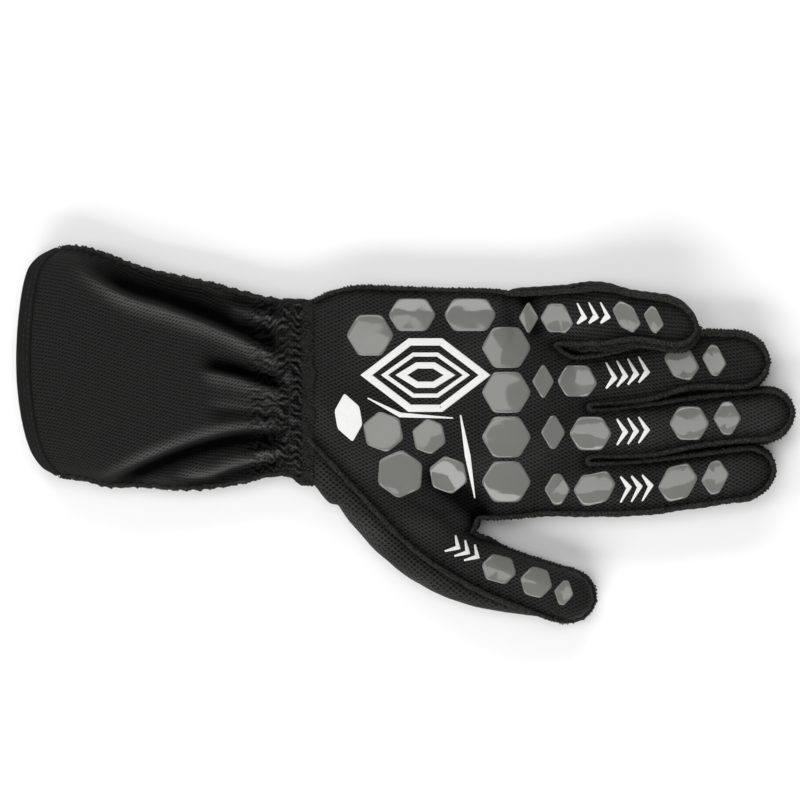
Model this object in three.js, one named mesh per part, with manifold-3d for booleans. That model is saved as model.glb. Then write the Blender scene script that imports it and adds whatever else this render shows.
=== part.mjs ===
// A right-hand karting glove with a long gauntlet cuff, lying on its back with the palm up.
// +X runs from the cuff's mouth to the fingertips, +Y towards the little finger, +Z out of the palm.
// The cloth walls are hollow shells, made with the fingers straight and spread.
// At the end one function bends every piece into the lying pose, where the fingers overlap like shingles.
import * as THREE from "three";
import { mergeVertices } from "three/addons/utils/BufferGeometryUtils.js";
import Module from "manifold-3d";

const wasm = await Module();
wasm.setup();

// Driving sizes, in millimetres
const wallThickness = 1.6;
const clearance = 0.3;
const cuffLength = 121;
const cuffWidth = 93;
const cuffDepth = 27;
const mouthBow = 13;
const wristWidth = 70.5;
const wristDepth = 23;
const palmLength = 121;
const palmWidth = 94;
const palmDepth = 24;
const edgeHeight = 11;
const littleWebSetback = 16;
const fingerLength = 84.5;
const fingerWidth = 24;
const fingerDepth = 16.5;
const fingerEdgeHeight = 8;
const thumbWidth = 31;
const thumbDepth = 20;
const tipRounding = 13;
const frontSeamHeight = 12;
const backSeamHeight = 4.6;
const thumbSeamHeight = 5.5;
const seamRidgeRadius = 1.3;
const seamRidgeSides = 5;
const hemWidth = 5.2;
const hemThickening = 0.5;
const wristTapeWidth = 3.6;
const wristTapeThickness = 0.7;
const wristClearHeight = 1.5;
const gatherLength = 24;
const gatherDepth = 1.1;
const gripThickness = 0.8;

// Shares and slopes of the forms. A section is squarer at its shoulders the higher domeSquareness is.
const domeSquareness = 2.4;
const underFullness = 1.12;
const wristLift = { middle: -8, run: 18, flat: 0.35 };
const webStart = 0.6;
const webRun = 0.35;
const mouthStart = 0.55;
const mouthRun = 0.45;
const mouthSquareness = 3.5;
const littleSideStart = 0.12;
const littleSideRun = 0.16;
const foldEaseSlope = 3;
const foldEaseStart = 0.6;
const tapeGatherGap = 3;
const thumbBorder = -0.64 * palmWidth;
const crotch = [0.56 * palmLength, -0.545 * palmWidth];
const crotchSeamRun = 6;
const crotchOverlap = 3;
const heelPlace = 0.11;
const heelAcross = 0.5;
const thumbSeamAcross = 0.3;
const thumbRoundStart = 2;
const sideSearch = 14;
const beyondEnd = 20;
const tipFlatness = 0.45;
const thumbTipFlatness = 0.6;
const thumbTipRise = 3;
const hemOverrun = 4;
const fourchetteInset = 5;
const tipSquareness = 2.3;
const slimmestHalf = 1.3 * wallThickness;
const ridgeSpacing = 1.2 * seamRidgeRadius;

const outlineTolerance = 0.3;
const simplifyTolerance = 0.06;
const bodySides = 26;
const fingerSides = 12;
const reach = 400;

// The four fingers as they lie, with their sections from inside the palm towards the rounded tip.
// root is where the finger bends, as a share of palmLength, and length a share of fingerLength.
// place is a share of the finger's own length from its root, across a share of palmWidth from the
// hand's middle line, width a share of fingerWidth, depth and lift shares of fingerDepth.
// splay is how far a finger is spread while it is made, as a slope. lift raises its tip, and roll
// raises the edge nearer the thumb, as a slope.
const fingerRows = [
  {
    name: "little", root: 0.868, length: 0.686, tipAcross: 0.323, depth: 0.92, splay: 0.32, lift: 0.655, roll: 0.28,
    sections: [
      { place: -0.362, across: 0.372, width: 1.0 },
      { place: 0.0, across: 0.372, width: 1.0 },
      { place: 0.276, across: 0.379, width: 1.05 },
      { place: 0.569, across: 0.37, width: 0.94 },
    ],
  },
  {
    name: "ring", root: 0.963, length: 0.893, tipAcross: 0.174, depth: 1.0, splay: 0.1, lift: 0, roll: 0.19,
    sections: [
      { place: -0.272, across: 0.089, width: 0.81 },
      { place: 0.0, across: 0.102, width: 0.86 },
      { place: 0.338, across: 0.143, width: 1.0 },
      { place: 0.616, across: 0.183, width: 1.01 },
    ],
  },
  {
    name: "middle", root: 0.963, length: 1.0, tipAcross: -0.049, depth: 1.0, splay: 0, lift: 0, roll: 0.18,
    sections: [
      { place: -0.243, across: -0.133, width: 0.8 },
      { place: 0.0, across: -0.132, width: 0.82 },
      { place: 0.302, across: -0.115, width: 0.92 },
      { place: 0.574, across: -0.083, width: 0.93 },
    ],
  },
  {
    name: "index", root: 0.963, length: 0.924, tipAcross: -0.302, depth: 1.0, splay: -0.09, lift: 0, roll: 0.03,
    sections: [
      { place: -0.262, across: -0.388, width: 0.92 },
      { place: 0.0, across: -0.386, width: 0.95 },
      { place: 0.327, across: -0.373, width: 0.99 },
      { place: 0.595, across: -0.344, width: 0.98 },
    ],
  },
];
const fingers = fingerRows.map((row) => {
  const hinge = row.root * palmLength;
  const length = row.length * fingerLength;
  const sections = row.sections.map((s) => ({
    along: hinge + s.place * length,
    across: s.across * palmWidth,
    width: s.width * fingerWidth,
  }));
  return {
    ...row,
    hinge,
    tip: hinge + length,
    tipAcross: row.tipAcross * palmWidth,
    lift: row.lift * fingerDepth,
    sections,
  };
});

// The thumb's middle line from inside the palm to the tip: place is a share of palmLength, across of
// palmWidth, half of thumbWidth and depth of thumbDepth.
// seam is where the front seam crosses its top, as a share of the half width towards its outer side.
const thumbRows = [
  { place: 0.132, across: -0.234, half: 0.484, depth: 1.0, seam: 0.3 },
  { place: 0.264, across: -0.457, half: 0.516, depth: 1.05, seam: 0.29 },
  { place: 0.417, across: -0.644, half: 0.503, depth: 1.05, seam: 0.3 },
  { place: 0.595, across: -0.766, half: 0.445, depth: 1.0, seam: 0.45 },
  { place: 0.764, across: -0.824, half: 0.374, depth: 0.92, seam: 0.76 },
  { place: 0.876, across: -0.856, half: 0.342, depth: 0.84, seam: 0.97 },
];
const thumbSections = thumbRows.map((row) => ({
  ...row,
  along: row.place * palmLength,
  across: row.across * palmWidth,
  half: row.half * thumbWidth,
}));
const thumbTip = { along: 0.977 * palmLength, across: -0.883 * palmWidth };

// Cuff sections from the wrist to the mouth. place is a share of cuffLength, centre a share of cuffWidth,
// spread how far the width and depth have grown from the wrist's to the cuff's.
const cuffSections = [
  { place: 0.07, centre: 0.065, spread: 0.0, deep: 0.0 },
  { place: 0.14, centre: 0.066, spread: 0.04, deep: 0.1 },
  { place: 0.2, centre: 0.065, spread: 0.22, deep: 0.3 },
  { place: 0.31, centre: 0.072, spread: 0.49, deep: 0.7 },
  { place: 0.45, centre: 0.086, spread: 0.7, deep: 0.95 },
  { place: 0.58, centre: 0.11, spread: 0.82, deep: 1.0 },
  { place: 0.72, centre: 0.14, spread: 1.02, deep: 1.0 },
  { place: 0.86, centre: 0.17, spread: 1.0, deep: 0.98 },
];
const mouthSection = { centre: 0.178, spread: 0.92, deep: 0.9 };

// Hand sections from the wrist to the webs. place is a share of palmLength, and thin, where it is
// given, the share of its depth that a section keeps where the fingers come out of it.
const handSections = [
  { place: 0.0, centre: 0.062, spread: 0.0, deep: 0.0 },
  { place: 0.072, centre: 0.029, spread: 0.58, deep: 0.55 },
  { place: 0.16, centre: 0.02, spread: 0.86, deep: 0.9 },
  { place: 0.31, centre: 0.002, spread: 0.98, deep: 1.0 },
  { place: 0.52, centre: -0.014, spread: 1.04, deep: 1.0 },
  { place: 0.7, centre: -0.012, spread: 1.02, deep: 0.9, thin: 0.97 },
  { place: 0.86, centre: -0.004, spread: 1.05, deep: 0.9, thin: 0.78 },
  { place: 0.955, centre: 0.0, spread: 1.0, deep: 0.9, thin: 0.58 },
];

// Folds across the front, as straight creases. from and to are shares: along of cuffLength behind the
// wrist or of palmLength before it, across of palmWidth. lift is in millimetres, down where negative.
const folds = [
  { from: [-0.8, 0.6], to: [-0.12, 0.16], lift: 2.6, width: 6 },
  { from: [-0.66, 0.6], to: [-0.18, 0.36], lift: -5.5, width: 6.5 },
  { from: [-0.34, 0.24], to: [-0.12, 0.1], lift: -2.4, width: 5 },
  { from: [-0.7, -0.32], to: [-0.13, -0.08], lift: 2.4, width: 6 },
  { from: [-0.46, -0.3], to: [-0.16, -0.19], lift: -4, width: 5.5 },
  { from: [-0.3, -0.34], to: [-0.14, -0.3], lift: -2, width: 4 },
  { from: [0.6, -0.5], to: [0.42, -0.3], lift: -2.6, width: 6 },
  { from: [0.79, 0.3], to: [0.74, 0.46], lift: -2.2, width: 4 },
];

// Silicone grip pads, as hexagons pointing along the glove. On the palm and thumb, place and length are
// shares of palmLength, across and width of palmWidth, and turn is in degrees. On a finger's middle line,
// place is a share of the finger's own length from its root, length of fingerLength and width of fingerWidth.
const grips = [
  { name: "palm_a", place: 0.211, across: 0.293, length: 0.165, width: 0.181 },
  { name: "palm_b", place: 0.355, across: 0.383, length: 0.165, width: 0.144 },
  { name: "palm_c", place: 0.256, across: -0.133, length: 0.149, width: 0.160, turn: -20 },
  { name: "palm_d", place: 0.314, across: -0.319, length: 0.174, width: 0.186, turn: -35 },
  { name: "palm_e", place: 0.554, across: 0.383, length: 0.182, width: 0.144 },
  { name: "palm_f", place: 0.413, across: -0.154, length: 0.124, width: 0.144, turn: -20 },
  { name: "palm_g", place: 0.479, across: -0.324, length: 0.140, width: 0.149, turn: -20 },
  { name: "palm_h", place: 0.678, across: 0.239, length: 0.174, width: 0.181 },
  { name: "palm_i", place: 0.678, across: 0.041, length: 0.174, width: 0.181 },
  { name: "palm_j", place: 0.678, across: -0.156, length: 0.174, width: 0.181 },
  { name: "palm_k", place: 0.678, across: -0.354, length: 0.174, width: 0.181 },
  { name: "thumb_a", place: 0.653, across: -0.739, length: 0.124, width: 0.117, turn: -15 },
  { name: "thumb_b", place: 0.781, across: -0.798, length: 0.116, width: 0.128, turn: -15 },
  { name: "thumb_c", place: 0.876, across: -0.844, length: 0.070, width: 0.112, turn: -12 },
  { name: "little_a", finger: "little", place: -0.242, length: 0.101, width: 0.542 },
  { name: "little_b", finger: "little", place: -0.035, length: 0.166, width: 0.500 },
  { name: "little_c", finger: "little", place: 0.474, length: 0.142, width: 0.458 },
  { name: "little_d", finger: "little", place: 0.672, length: 0.101, width: 0.458 },
  { name: "ring_a", finger: "ring", place: -0.259, length: 0.112, width: 0.583 },
  { name: "ring_b", finger: "ring", place: -0.067, length: 0.201, width: 0.542 },
  { name: "ring_c", finger: "ring", place: 0.517, length: 0.178, width: 0.562 },
  { name: "ring_d", finger: "ring", place: 0.699, length: 0.124, width: 0.542 },
  { name: "middle_a", finger: "middle", place: -0.178, length: 0.124, width: 0.583 },
  { name: "middle_b", finger: "middle", place: 0.006, length: 0.213, width: 0.583 },
  { name: "middle_c", finger: "middle", place: 0.491, length: 0.201, width: 0.583 },
  { name: "middle_d", finger: "middle", place: 0.677, length: 0.142, width: 0.583 },
  { name: "index_a", finger: "index", place: -0.173, length: 0.130, width: 0.542 },
  { name: "index_b", finger: "index", place: 0.029, length: 0.213, width: 0.542 },
  { name: "index_c", finger: "index", place: 0.480, length: 0.201, width: 0.604 },
  { name: "index_d", finger: "index", place: 0.681, length: 0.142, width: 0.583 },
];
const gripPoint = 0.3;

const lerp = THREE.MathUtils.lerp;
const clamp = THREE.MathUtils.clamp;
const smooth = (t) => THREE.MathUtils.smoothstep(t, 0, 1);

// Where the rings of a rounded tip stand, as shares of tipRounding before its end.
const tipSteps = [1, 0.55, 0.22, 0.02];

// Solids and booleans
function toSolid(geometry) {
  const bare = geometry.index ? geometry.toNonIndexed() : geometry.clone();
  bare.deleteAttribute("normal");
  bare.deleteAttribute("uv");
  const merged = mergeVertices(bare, 1e-4);
  return new wasm.Manifold(
    new wasm.Mesh({
      numProp: 3,
      vertProperties: merged.attributes.position.array,
      triVerts: new Uint32Array(merged.index.array),
    }),
  );
}

function toGeometry(solid) {
  const mesh = solid.getMesh();
  const positions = new Float32Array(mesh.numVert * 3);
  for (let i = 0; i < mesh.numVert; i++)
    for (let j = 0; j < 3; j++) positions[i * 3 + j] = mesh.vertProperties[i * mesh.numProp + j];
  return new THREE.BufferGeometry()
    .setAttribute("position", new THREE.BufferAttribute(positions, 3))
    .setIndex(new THREE.BufferAttribute(mesh.triVerts, 1));
}

// A closed solid through rings of points, each ring run anticlockwise seen from the far end.
function loft(rings) {
  const sides = rings[0].length;
  const positions = rings.flat().flatMap((p) => [p.x, p.y, p.z]);
  const indices = [];
  const last = (rings.length - 1) * sides;
  for (let k = 0; k < sides; k++) {
    const next = (k + 1) % sides;
    for (let r = 0; r + 1 < rings.length; r++) {
      const row = r * sides;
      indices.push(row + k, row + next, row + sides + next);
      indices.push(row + k, row + sides + next, row + sides + k);
    }
  }
  for (let k = 0; k < sides / 2; k++) {
    const [low, lowNext] = [(sides - k) % sides, sides - k - 1];
    const startCap = [[0, low, k + 1, k], [0, low, lowNext, k + 1]];
    const endCap = [[last, low, k, k + 1], [last, low, k + 1, lowNext]];
    for (const [row, a, b, c] of [...startCap, ...endCap])
      if (a !== b && b !== c && a !== c) indices.push(row + a, row + b, row + c);
  }
  const geometry = new THREE.BufferGeometry();
  geometry.setAttribute("position", new THREE.Float32BufferAttribute(positions, 3));
  geometry.setIndex(indices);
  return toSolid(geometry);
}

// An upright prism over a plan outline of [x, y] points.
function prism(outline, low, high) {
  const shape = new THREE.Shape(outline.map(([x, y]) => new THREE.Vector2(x, y)));
  const geometry = new THREE.ExtrudeGeometry(shape, { depth: high - low, bevelEnabled: false });
  geometry.translate(0, 0, low);
  return toSolid(geometry);
}

function block(low, high) {
  return prism(
    [[low[0], low[1]], [high[0], low[1]], [high[0], high[1]], [low[0], high[1]]],
    low[2],
    high[2],
  );
}

function union(solids) {
  return wasm.Manifold.union(solids);
}

// The largest of a solid's separate bodies.
function mainBody(solid) {
  return solid.decompose().reduce((best, next) => (next.volume() > best.volume() ? next : best));
}

// A ridge of round section along a path of points.
function ridge(path) {
  const spaced = path.reduce(
    (kept, p) => (kept.length && p.distanceTo(kept[kept.length - 1]) < ridgeSpacing ? kept : [...kept, p]),
    [],
  );
  const discs = spaced.map((point, i) => {
    const [before, after] = [spaced[Math.max(i - 1, 0)], spaced[Math.min(i + 1, spaced.length - 1)]];
    const heading = point.clone().sub(before).normalize().add(after.clone().sub(point).normalize());
    const aside = new THREE.Vector3(-heading.y, heading.x, 0).normalize();
    const above = heading.clone().cross(aside).normalize();
    return Array.from({ length: seamRidgeSides }, (_, k) => {
      const turn = (2 * Math.PI * (k + 0.5)) / seamRidgeSides;
      const p = point.clone().addScaledVector(aside, seamRidgeRadius * Math.cos(turn));
      return p.addScaledVector(above, seamRidgeRadius * Math.sin(turn));
    });
  });
  return loft(discs);
}

// The cloth's cross-section: a dome above its widest level and a flatter one below, flat where it rests.
// offset grows it on every side, or shrinks it where negative.
function sectionRing(section) {
  const { origin, lateral, half, top, edge, sides, offset } = section;
  const { under = 0, bow = () => 0, lifted = () => 0 } = section;
  const ring = [];
  for (let k = 0; k < sides; k++) {
    const turn = (2 * Math.PI * k) / sides;
    const across = Math.cos(turn);
    const dome = Math.sqrt(Math.max(0, 1 - Math.abs(across) ** domeSquareness));
    const plan = origin.clone().addScaledVector(lateral, across * (half + offset));
    plan.x += bow(across);
    if (k < sides / 2) {
      plan.z = edge + (top - edge + offset) * dome;
      plan.z += lifted(plan.x, plan.y, k) * Math.min(1, 2 * dome);
    } else {
      plan.z = Math.max(edge - (underFullness * edge + offset) * dome, under - offset, 0);
    }
    ring.push(plan);
  }
  return ring;
}

const sideways = new THREE.Vector3(0, 1, 0);

// How far the folds raise or lower the front at a place, in millimetres.
function foldLift(x, y) {
  return folds.reduce((sum, fold) => {
    const [start, end] = [fold.from, fold.to].map(([along, across]) =>
      new THREE.Vector2(along * (along < 0 ? cuffLength : palmLength), across * palmWidth),
    );
    const axis = end.clone().sub(start);
    const here = new THREE.Vector2(x, y).sub(start);
    const share = here.dot(axis) / axis.lengthSq();
    const aside = Math.abs(here.cross(axis)) / axis.length() / fold.width;
    const run = [share, 1 - share]
      .map((s) => smooth(clamp(s * foldEaseSlope + foldEaseStart, 0, 1)))
      .reduce((product, value) => product * value);
    return sum + fold.lift * run * Math.exp(-aside * aside);
  }, 0);
}

// Puckers of the elastic rows, high and low on every second point of the section.
function gatherLift(x, k, row) {
  const inside = x < -tapeGatherGap && x > -gatherLength - tapeGatherGap;
  return inside ? gatherDepth * ((k + row) % 2 ? -1 : 1) : 0;
}

function bodyStation(section, place, length, width, depth) {
  const fromWrist = Math.abs(place * length - wristLift.middle) / wristLift.run;
  const wristShare = smooth(clamp(1 + wristLift.flat - fromWrist, 0, 1));
  return {
    x: place * length,
    centre: section.centre * width,
    half: lerp(wristWidth, width, section.spread) / 2,
    top: lerp(wristDepth, depth, section.deep) * (section.thin ?? 1),
    under: wristShare * wristClearHeight,
  };
}

const bodyStations = [
  ...cuffSections
    .map((s) => bodyStation(s, -s.place, cuffLength, cuffWidth, cuffDepth))
    .reverse(),
  ...handSections.map((s) => bodyStation(s, s.place, palmLength, palmWidth, palmDepth)),
];

const mouthStation = bodyStation(mouthSection, -1, cuffLength, cuffWidth, cuffDepth);

function bodyRing(station, row, offset) {
  const webShare = clamp((station.x / palmLength - webStart) / webRun, 0, 1);
  const mouthShare = smooth(clamp((-station.x / cuffLength - mouthStart) / mouthRun, 0, 1));
  const littleSide = (y) => smooth(clamp((y / palmWidth - littleSideStart) / littleSideRun, 0, 1));
  const ring = sectionRing({
    origin: new THREE.Vector3(station.x, station.centre, 0),
    lateral: sideways,
    half: station.half,
    top: station.top,
    edge: edgeHeight - (edgeHeight - fingerEdgeHeight) * webShare,
    under: station.under,
    sides: bodySides,
    offset,
    bow: (across) => mouthShare * mouthBow * Math.abs(across) ** mouthSquareness,
    lifted: (x, y, k) => foldLift(x, y) + (offset < 0 ? 0 : gatherLift(x, k, row)),
  });
  ring.forEach((p) => (p.x -= webShare * littleWebSetback * littleSide(p.y)));
  return ring;
}

// The station where the hem ends and the plain cuff begins.
function hemEnd(away) {
  const nearest = bodyStations[0];
  const share = (hemWidth + away) / (nearest.x - mouthStation.x);
  const between = Object.keys(nearest).map((key) => [key, lerp(mouthStation[key], nearest[key], share)]);
  return Object.fromEntries(between);
}

// The cuff, hand and webs as one closed loft, grown by offset. Shrunk, it runs out through the mouth.
function bodySolid(offset) {
  const rings = bodyStations.map((station, row) => bodyRing(station, row, offset));
  rings[rings.length - 1].forEach((p) => (p.x += offset));
  return loft([bodyRing(hemEnd(offset < 0 ? -hemWidth - hemOverrun : clearance), 0, offset), ...rings]);
}

function hemSolid() {
  const rings = (offset, more) => [hemEnd(-hemWidth - more), hemEnd(more)].map((s) => bodyRing(s, 0, offset));
  return loft(rings(hemThickening, 0)).subtract(loft(rings(-wallThickness - hemThickening, hemOverrun)));
}

// A finger's sections with the rounded tip's added, spread sideways by its splay.
function fingerStations(finger) {
  const last = finger.sections[finger.sections.length - 1];
  const rounded = tipSteps.map((step) => {
    const along = finger.tip - step * tipRounding;
    const share = (along - last.along) / (finger.tip - last.along);
    return { along, across: lerp(last.across, finger.tipAcross, share), width: last.width, step };
  });
  return [...finger.sections, ...rounded].map((s) => ({ ...s, across: s.across + spreading(finger, s.along) }));
}

function spreading(finger, along) {
  return finger.splay * Math.max(0, along - finger.hinge);
}

function fingerMiddle(finger, along) {
  const stations = fingerStations(finger);
  const beyond = stations.findIndex((s) => s.along >= along);
  const next = clamp(beyond < 0 ? stations.length : beyond, 1, stations.length - 1);
  const [from, to] = [stations[next - 1], stations[next]];
  return lerp(from.across, to.across, (along - from.along) / (to.along - from.along));
}

// How much of its full section a rounded tip keeps at a distance before its end.
function tipShare(before) {
  const left = clamp(1 - before / tipRounding, 0, 1);
  return Math.sqrt(1 - left ** tipSquareness);
}

function fingerSolid(finger, offset) {
  const rings = fingerStations(finger).map(({ along, across, width, step }) => {
    const size = tipShare(finger.tip - along);
    return sectionRing({
      origin: new THREE.Vector3(step < 1 ? along + offset : along, across, 0),
      lateral: sideways,
      half: Math.max((width / 2) * size, slimmestHalf),
      top: fingerEdgeHeight + (fingerDepth * finger.depth - fingerEdgeHeight) * lerp(tipFlatness, 1, size),
      edge: fingerEdgeHeight,
      sides: fingerSides,
      offset,
    });
  });
  return loft(rings);
}

// The thumb's stations, each with the direction across it in plan.
function thumbStations() {
  const last = thumbSections[thumbSections.length - 1];
  const end = new THREE.Vector2(thumbTip.along - last.along, thumbTip.across - last.across);
  const rounded = tipSteps.slice(1).map((step) => {
    const share = 1 - step * (tipRounding / end.length());
    const size = tipShare(step * tipRounding);
    return {
      along: lerp(last.along, thumbTip.along, share),
      across: lerp(last.across, thumbTip.across, share),
      half: last.half * size,
      depth: last.depth * lerp(thumbTipFlatness, 1, size),
      seam: 1,
      rounded: true,
    };
  });
  const stations = [...thumbSections, ...rounded];
  return stations.map((station, i) => {
    const [before, after] = [stations[Math.max(0, i - 1)], stations[Math.min(i + 1, stations.length - 1)]];
    const heading = new THREE.Vector3(after.along - before.along, after.across - before.across, 0).normalize();
    return { ...station, heading, lateral: new THREE.Vector3(-heading.y, heading.x, 0) };
  });
}

function thumbSolid(offset) {
  const rings = thumbStations().map((s) =>
    sectionRing({
      origin: new THREE.Vector3(s.along, s.across, 0).addScaledVector(s.heading, s.rounded ? offset : 0),
      lateral: s.lateral,
      half: Math.max(s.half, slimmestHalf),
      top: Math.max(thumbDepth * s.depth, fingerEdgeHeight + thumbTipRise),
      edge: fingerEdgeHeight,
      sides: fingerSides,
      offset,
    }),
  );
  return loft(rings);
}

function gloveSolid(offset) {
  return union([bodySolid(offset), ...fingers.map((f) => fingerSolid(f, offset)), thumbSolid(offset)]);
}

const outside = gloveSolid(0);
const skin = gloveSolid(clearance);
const outsideMesh = new THREE.Mesh(
  toGeometry(outside),
  new THREE.MeshBasicMaterial({ side: THREE.DoubleSide }),
);
const caster = new THREE.Raycaster();

// The point of the front above a place, found by a ray from above.
function frontAt(x, y) {
  caster.set(new THREE.Vector3(x, y, reach), new THREE.Vector3(0, 0, -1));
  return caster.intersectObject(outsideMesh)[0].point;
}

// The glove's outline at a height, anticlockwise seen from above.
function outlineAt(height) {
  const polygons = outside.slice(height).simplify(outlineTolerance).toPolygons();
  const longest = polygons.reduce((best, next) => (next.length > best.length ? next : best));
  return longest.map(([x, y]) => new THREE.Vector3(x, y, height));
}

// The stretch of an outline between the vertices nearest to two places, anticlockwise.
function stretch(outline, from, to) {
  const nearest = ([x, y]) => {
    const distances = outline.map((p) => Math.hypot(p.x - x, p.y - y));
    return distances.indexOf(Math.min(...distances));
  };
  const [start, end] = [nearest(from), nearest(to)];
  const count = (end - start + outline.length) % outline.length;
  const run = Array.from({ length: count + 1 }, (_, i) => outline[(start + i) % outline.length]);
  return run;
}

// The plan line of the front seam along the outer side of the thumb.
function thumbSeamLine() {
  const { centre } = handSections[0];
  const start = [0, centre * palmWidth - wristWidth * thumbSeamAcross];
  const heel = [heelPlace * palmLength, centre * palmWidth - wristWidth * heelAcross];
  const along = thumbStations()
    .slice(1)
    .map((s) => [s.along - s.lateral.x * s.half * s.seam, s.across - s.lateral.y * s.half * s.seam]);
  return [start, heel, ...along];
}

// Everything on the palm panel's side of its seam, moved out by grow.
function palmRegion(grow) {
  const front = block([-reach, -reach, frontSeamHeight - grow], [reach, reach, reach]);
  const thumbFront = block([crotch[0], -reach, thumbSeamHeight - grow], [reach, crotch[1], reach]);
  const seam = thumbSeamLine();
  const line = seam.map(([x, y], i) => {
    const [from, to] = [seam[Math.max(0, i - 1)], seam[Math.min(i + 1, seam.length - 1)]];
    const run = Math.hypot(to[0] - from[0], to[1] - from[1]);
    return [x + (grow * (to[1] - from[1])) / run, y - (grow * (to[0] - from[0])) / run];
  });
  const tip = line[line.length - 1];
  const inside = prism([...line, [tip[0] + reach, tip[1]], [tip[0] + reach, reach], [0, reach]], -reach, reach);
  return front.add(thumbFront).intersect(inside);
}

// The strip between two neighbouring fingers, between the front and the back seam.
function fourchetteRegion(first, second, grow) {
  const start = Math.min(first.hinge, second.hinge) - fourchetteInset;
  const lineOf = (finger, side) => {
    const stations = fingerStations(finger).map((s) => s.along).filter((x) => x > start);
    const places = [start, ...stations, finger.tip + beyondEnd];
    return places.map((x) => [x - (x === start ? grow : 0), fingerMiddle(finger, x) + side * grow]);
  };
  const outline = [...lineOf(second, -1), ...lineOf(first, 1).reverse()];
  return prism(outline, backSeamHeight - grow, frontSeamHeight + grow);
}

const neighbours = fingers.slice(1).map((finger, i) => [fingers[i], finger]);
const half = clearance / 2;
const tapeHalf = wristTapeWidth / 2;

// Cloth panels
function clothPanels() {
  const shell = outside.subtract(gloveSolid(-wallThickness));
  const handSide = shell.intersect(block([half, -reach, -reach], [reach, reach, reach]));
  const cuffSide = shell.intersect(block([-reach, -reach, -reach], [-half, reach, reach]));
  const strips = neighbours.map(([a, b]) => [`fourchette_${a.name}_${b.name}`, a, b]);
  return {
    palm_panel: handSide.intersect(palmRegion(-half)),
    ...Object.fromEntries(strips.map(([name, a, b]) => [name, handSide.intersect(fourchetteRegion(a, b, -half))])),
    back_panel: strips.reduce(
      (rest, [, a, b]) => rest.subtract(fourchetteRegion(a, b, half)),
      handSide.subtract(palmRegion(half)),
    ),
    cuff_front: cuffSide.intersect(block([-reach, -reach, frontSeamHeight + half], [reach, reach, reach])),
    cuff_back: cuffSide.intersect(block([-reach, -reach, -reach], [reach, reach, frontSeamHeight - half])),
    cuff_hem: hemSolid(),
  };
}

// Overlocked seams, standing out of the cloth as ridges
function seamRidges() {
  const frontOutline = outlineAt(frontSeamHeight);
  const backOutline = outlineAt(backSeamHeight);
  const thumbOutline = outlineAt(thumbSeamHeight);
  const sideOf = (x) => {
    const crossings = frontOutline.filter((p) => Math.abs(p.x - x) < sideSearch).map((p) => p.y);
    return { thumb: [x, Math.min(...crossings)], little: [x, Math.max(...crossings)] };
  };
  const [wristSide, cuffStart, cuffEnd] = [tapeHalf, -tapeHalf, hemEnd(clearance).x].map(sideOf);
  const mouth = hemEnd(clearance).x;
  const seamLine = thumbSeamLine();
  const thumbTop = seamLine.slice(0, -tipSteps.length + 1).map(([x, y]) => frontAt(Math.max(x, 0.5), y));
  const { along, across, half: thumbHalf } = thumbSections[thumbSections.length - 1];
  const thumbRoundEnd = [crotch[0] + crotchOverlap, crotch[1]];
  const thumbRound = stretch(thumbOutline, [along + thumbRoundStart, across - thumbHalf], thumbRoundEnd);
  const solids = {
    seam_front: ridge(stretch(frontOutline, [crotch[0] + crotchSeamRun, crotch[1]], wristSide.little)),
    seam_thumb: ridge([...thumbTop, ...thumbRound]),
    seam_cuff_little: ridge(stretch(frontOutline, cuffStart.little, cuffEnd.little)),
    seam_cuff_thumb: ridge(stretch(frontOutline, cuffEnd.thumb, cuffStart.thumb)),
  };
  for (const [a, b] of neighbours)
    solids[`seam_back_${a.name}_${b.name}`] = ridge(
      stretch(backOutline, [b.tip, fingerMiddle(b, b.tip)], [a.tip, fingerMiddle(a, a.tip)]),
    );
  const beyond = block([tapeHalf + clearance, -reach, -reach], [reach, reach, reach]);
  const behind = block([mouth + mouthBow + clearance, -reach, -reach], [-tapeHalf - clearance, reach, reach]);
  const freed = Object.entries(solids).map(([name, solid]) => [
    name,
    mainBody(solid.intersect(name.includes("cuff") ? behind : beyond).subtract(skin)),
  ]);
  const tape = gloveSolid(clearance + wristTapeThickness).subtract(skin);
  return {
    ...Object.fromEntries(freed),
    seam_wrist: tape.intersect(block([-tapeHalf, -reach, -reach], [tapeHalf, reach, reach])),
  };
}

// Grip pads, each cut from a thin layer over the skin of the palm panel
function gripPads() {
  const layer = gloveSolid(clearance + gripThickness).subtract(skin);
  const pads = grips.map(({ name, finger, turn = 0, ...row }) => {
    const owner = fingers.find((f) => f.name === finger);
    const along = owner ? owner.hinge + row.place * (owner.tip - owner.hinge) : row.place * palmLength;
    const across = owner ? fingerMiddle(owner, along) : row.across * palmWidth;
    const length = row.length * (owner ? fingerLength : palmLength);
    const width = row.width * (owner ? fingerWidth : palmWidth);
    const side = [
      [length / 2, 0],
      [length / 2 - gripPoint * width, width / 2],
      [gripPoint * width - length / 2, width / 2],
    ];
    const angle = THREE.MathUtils.degToRad(turn);
    const outline = [...side, ...side.map(([x, y]) => [-x, -y])].map(([x, y]) => [
      along + x * Math.cos(angle) - y * Math.sin(angle),
      across + x * Math.sin(angle) + y * Math.cos(angle),
    ]);
    return [`grip_${name}`, layer.intersect(prism(outline, edgeHeight, reach))];
  });
  return Object.fromEntries(pads);
}

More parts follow.
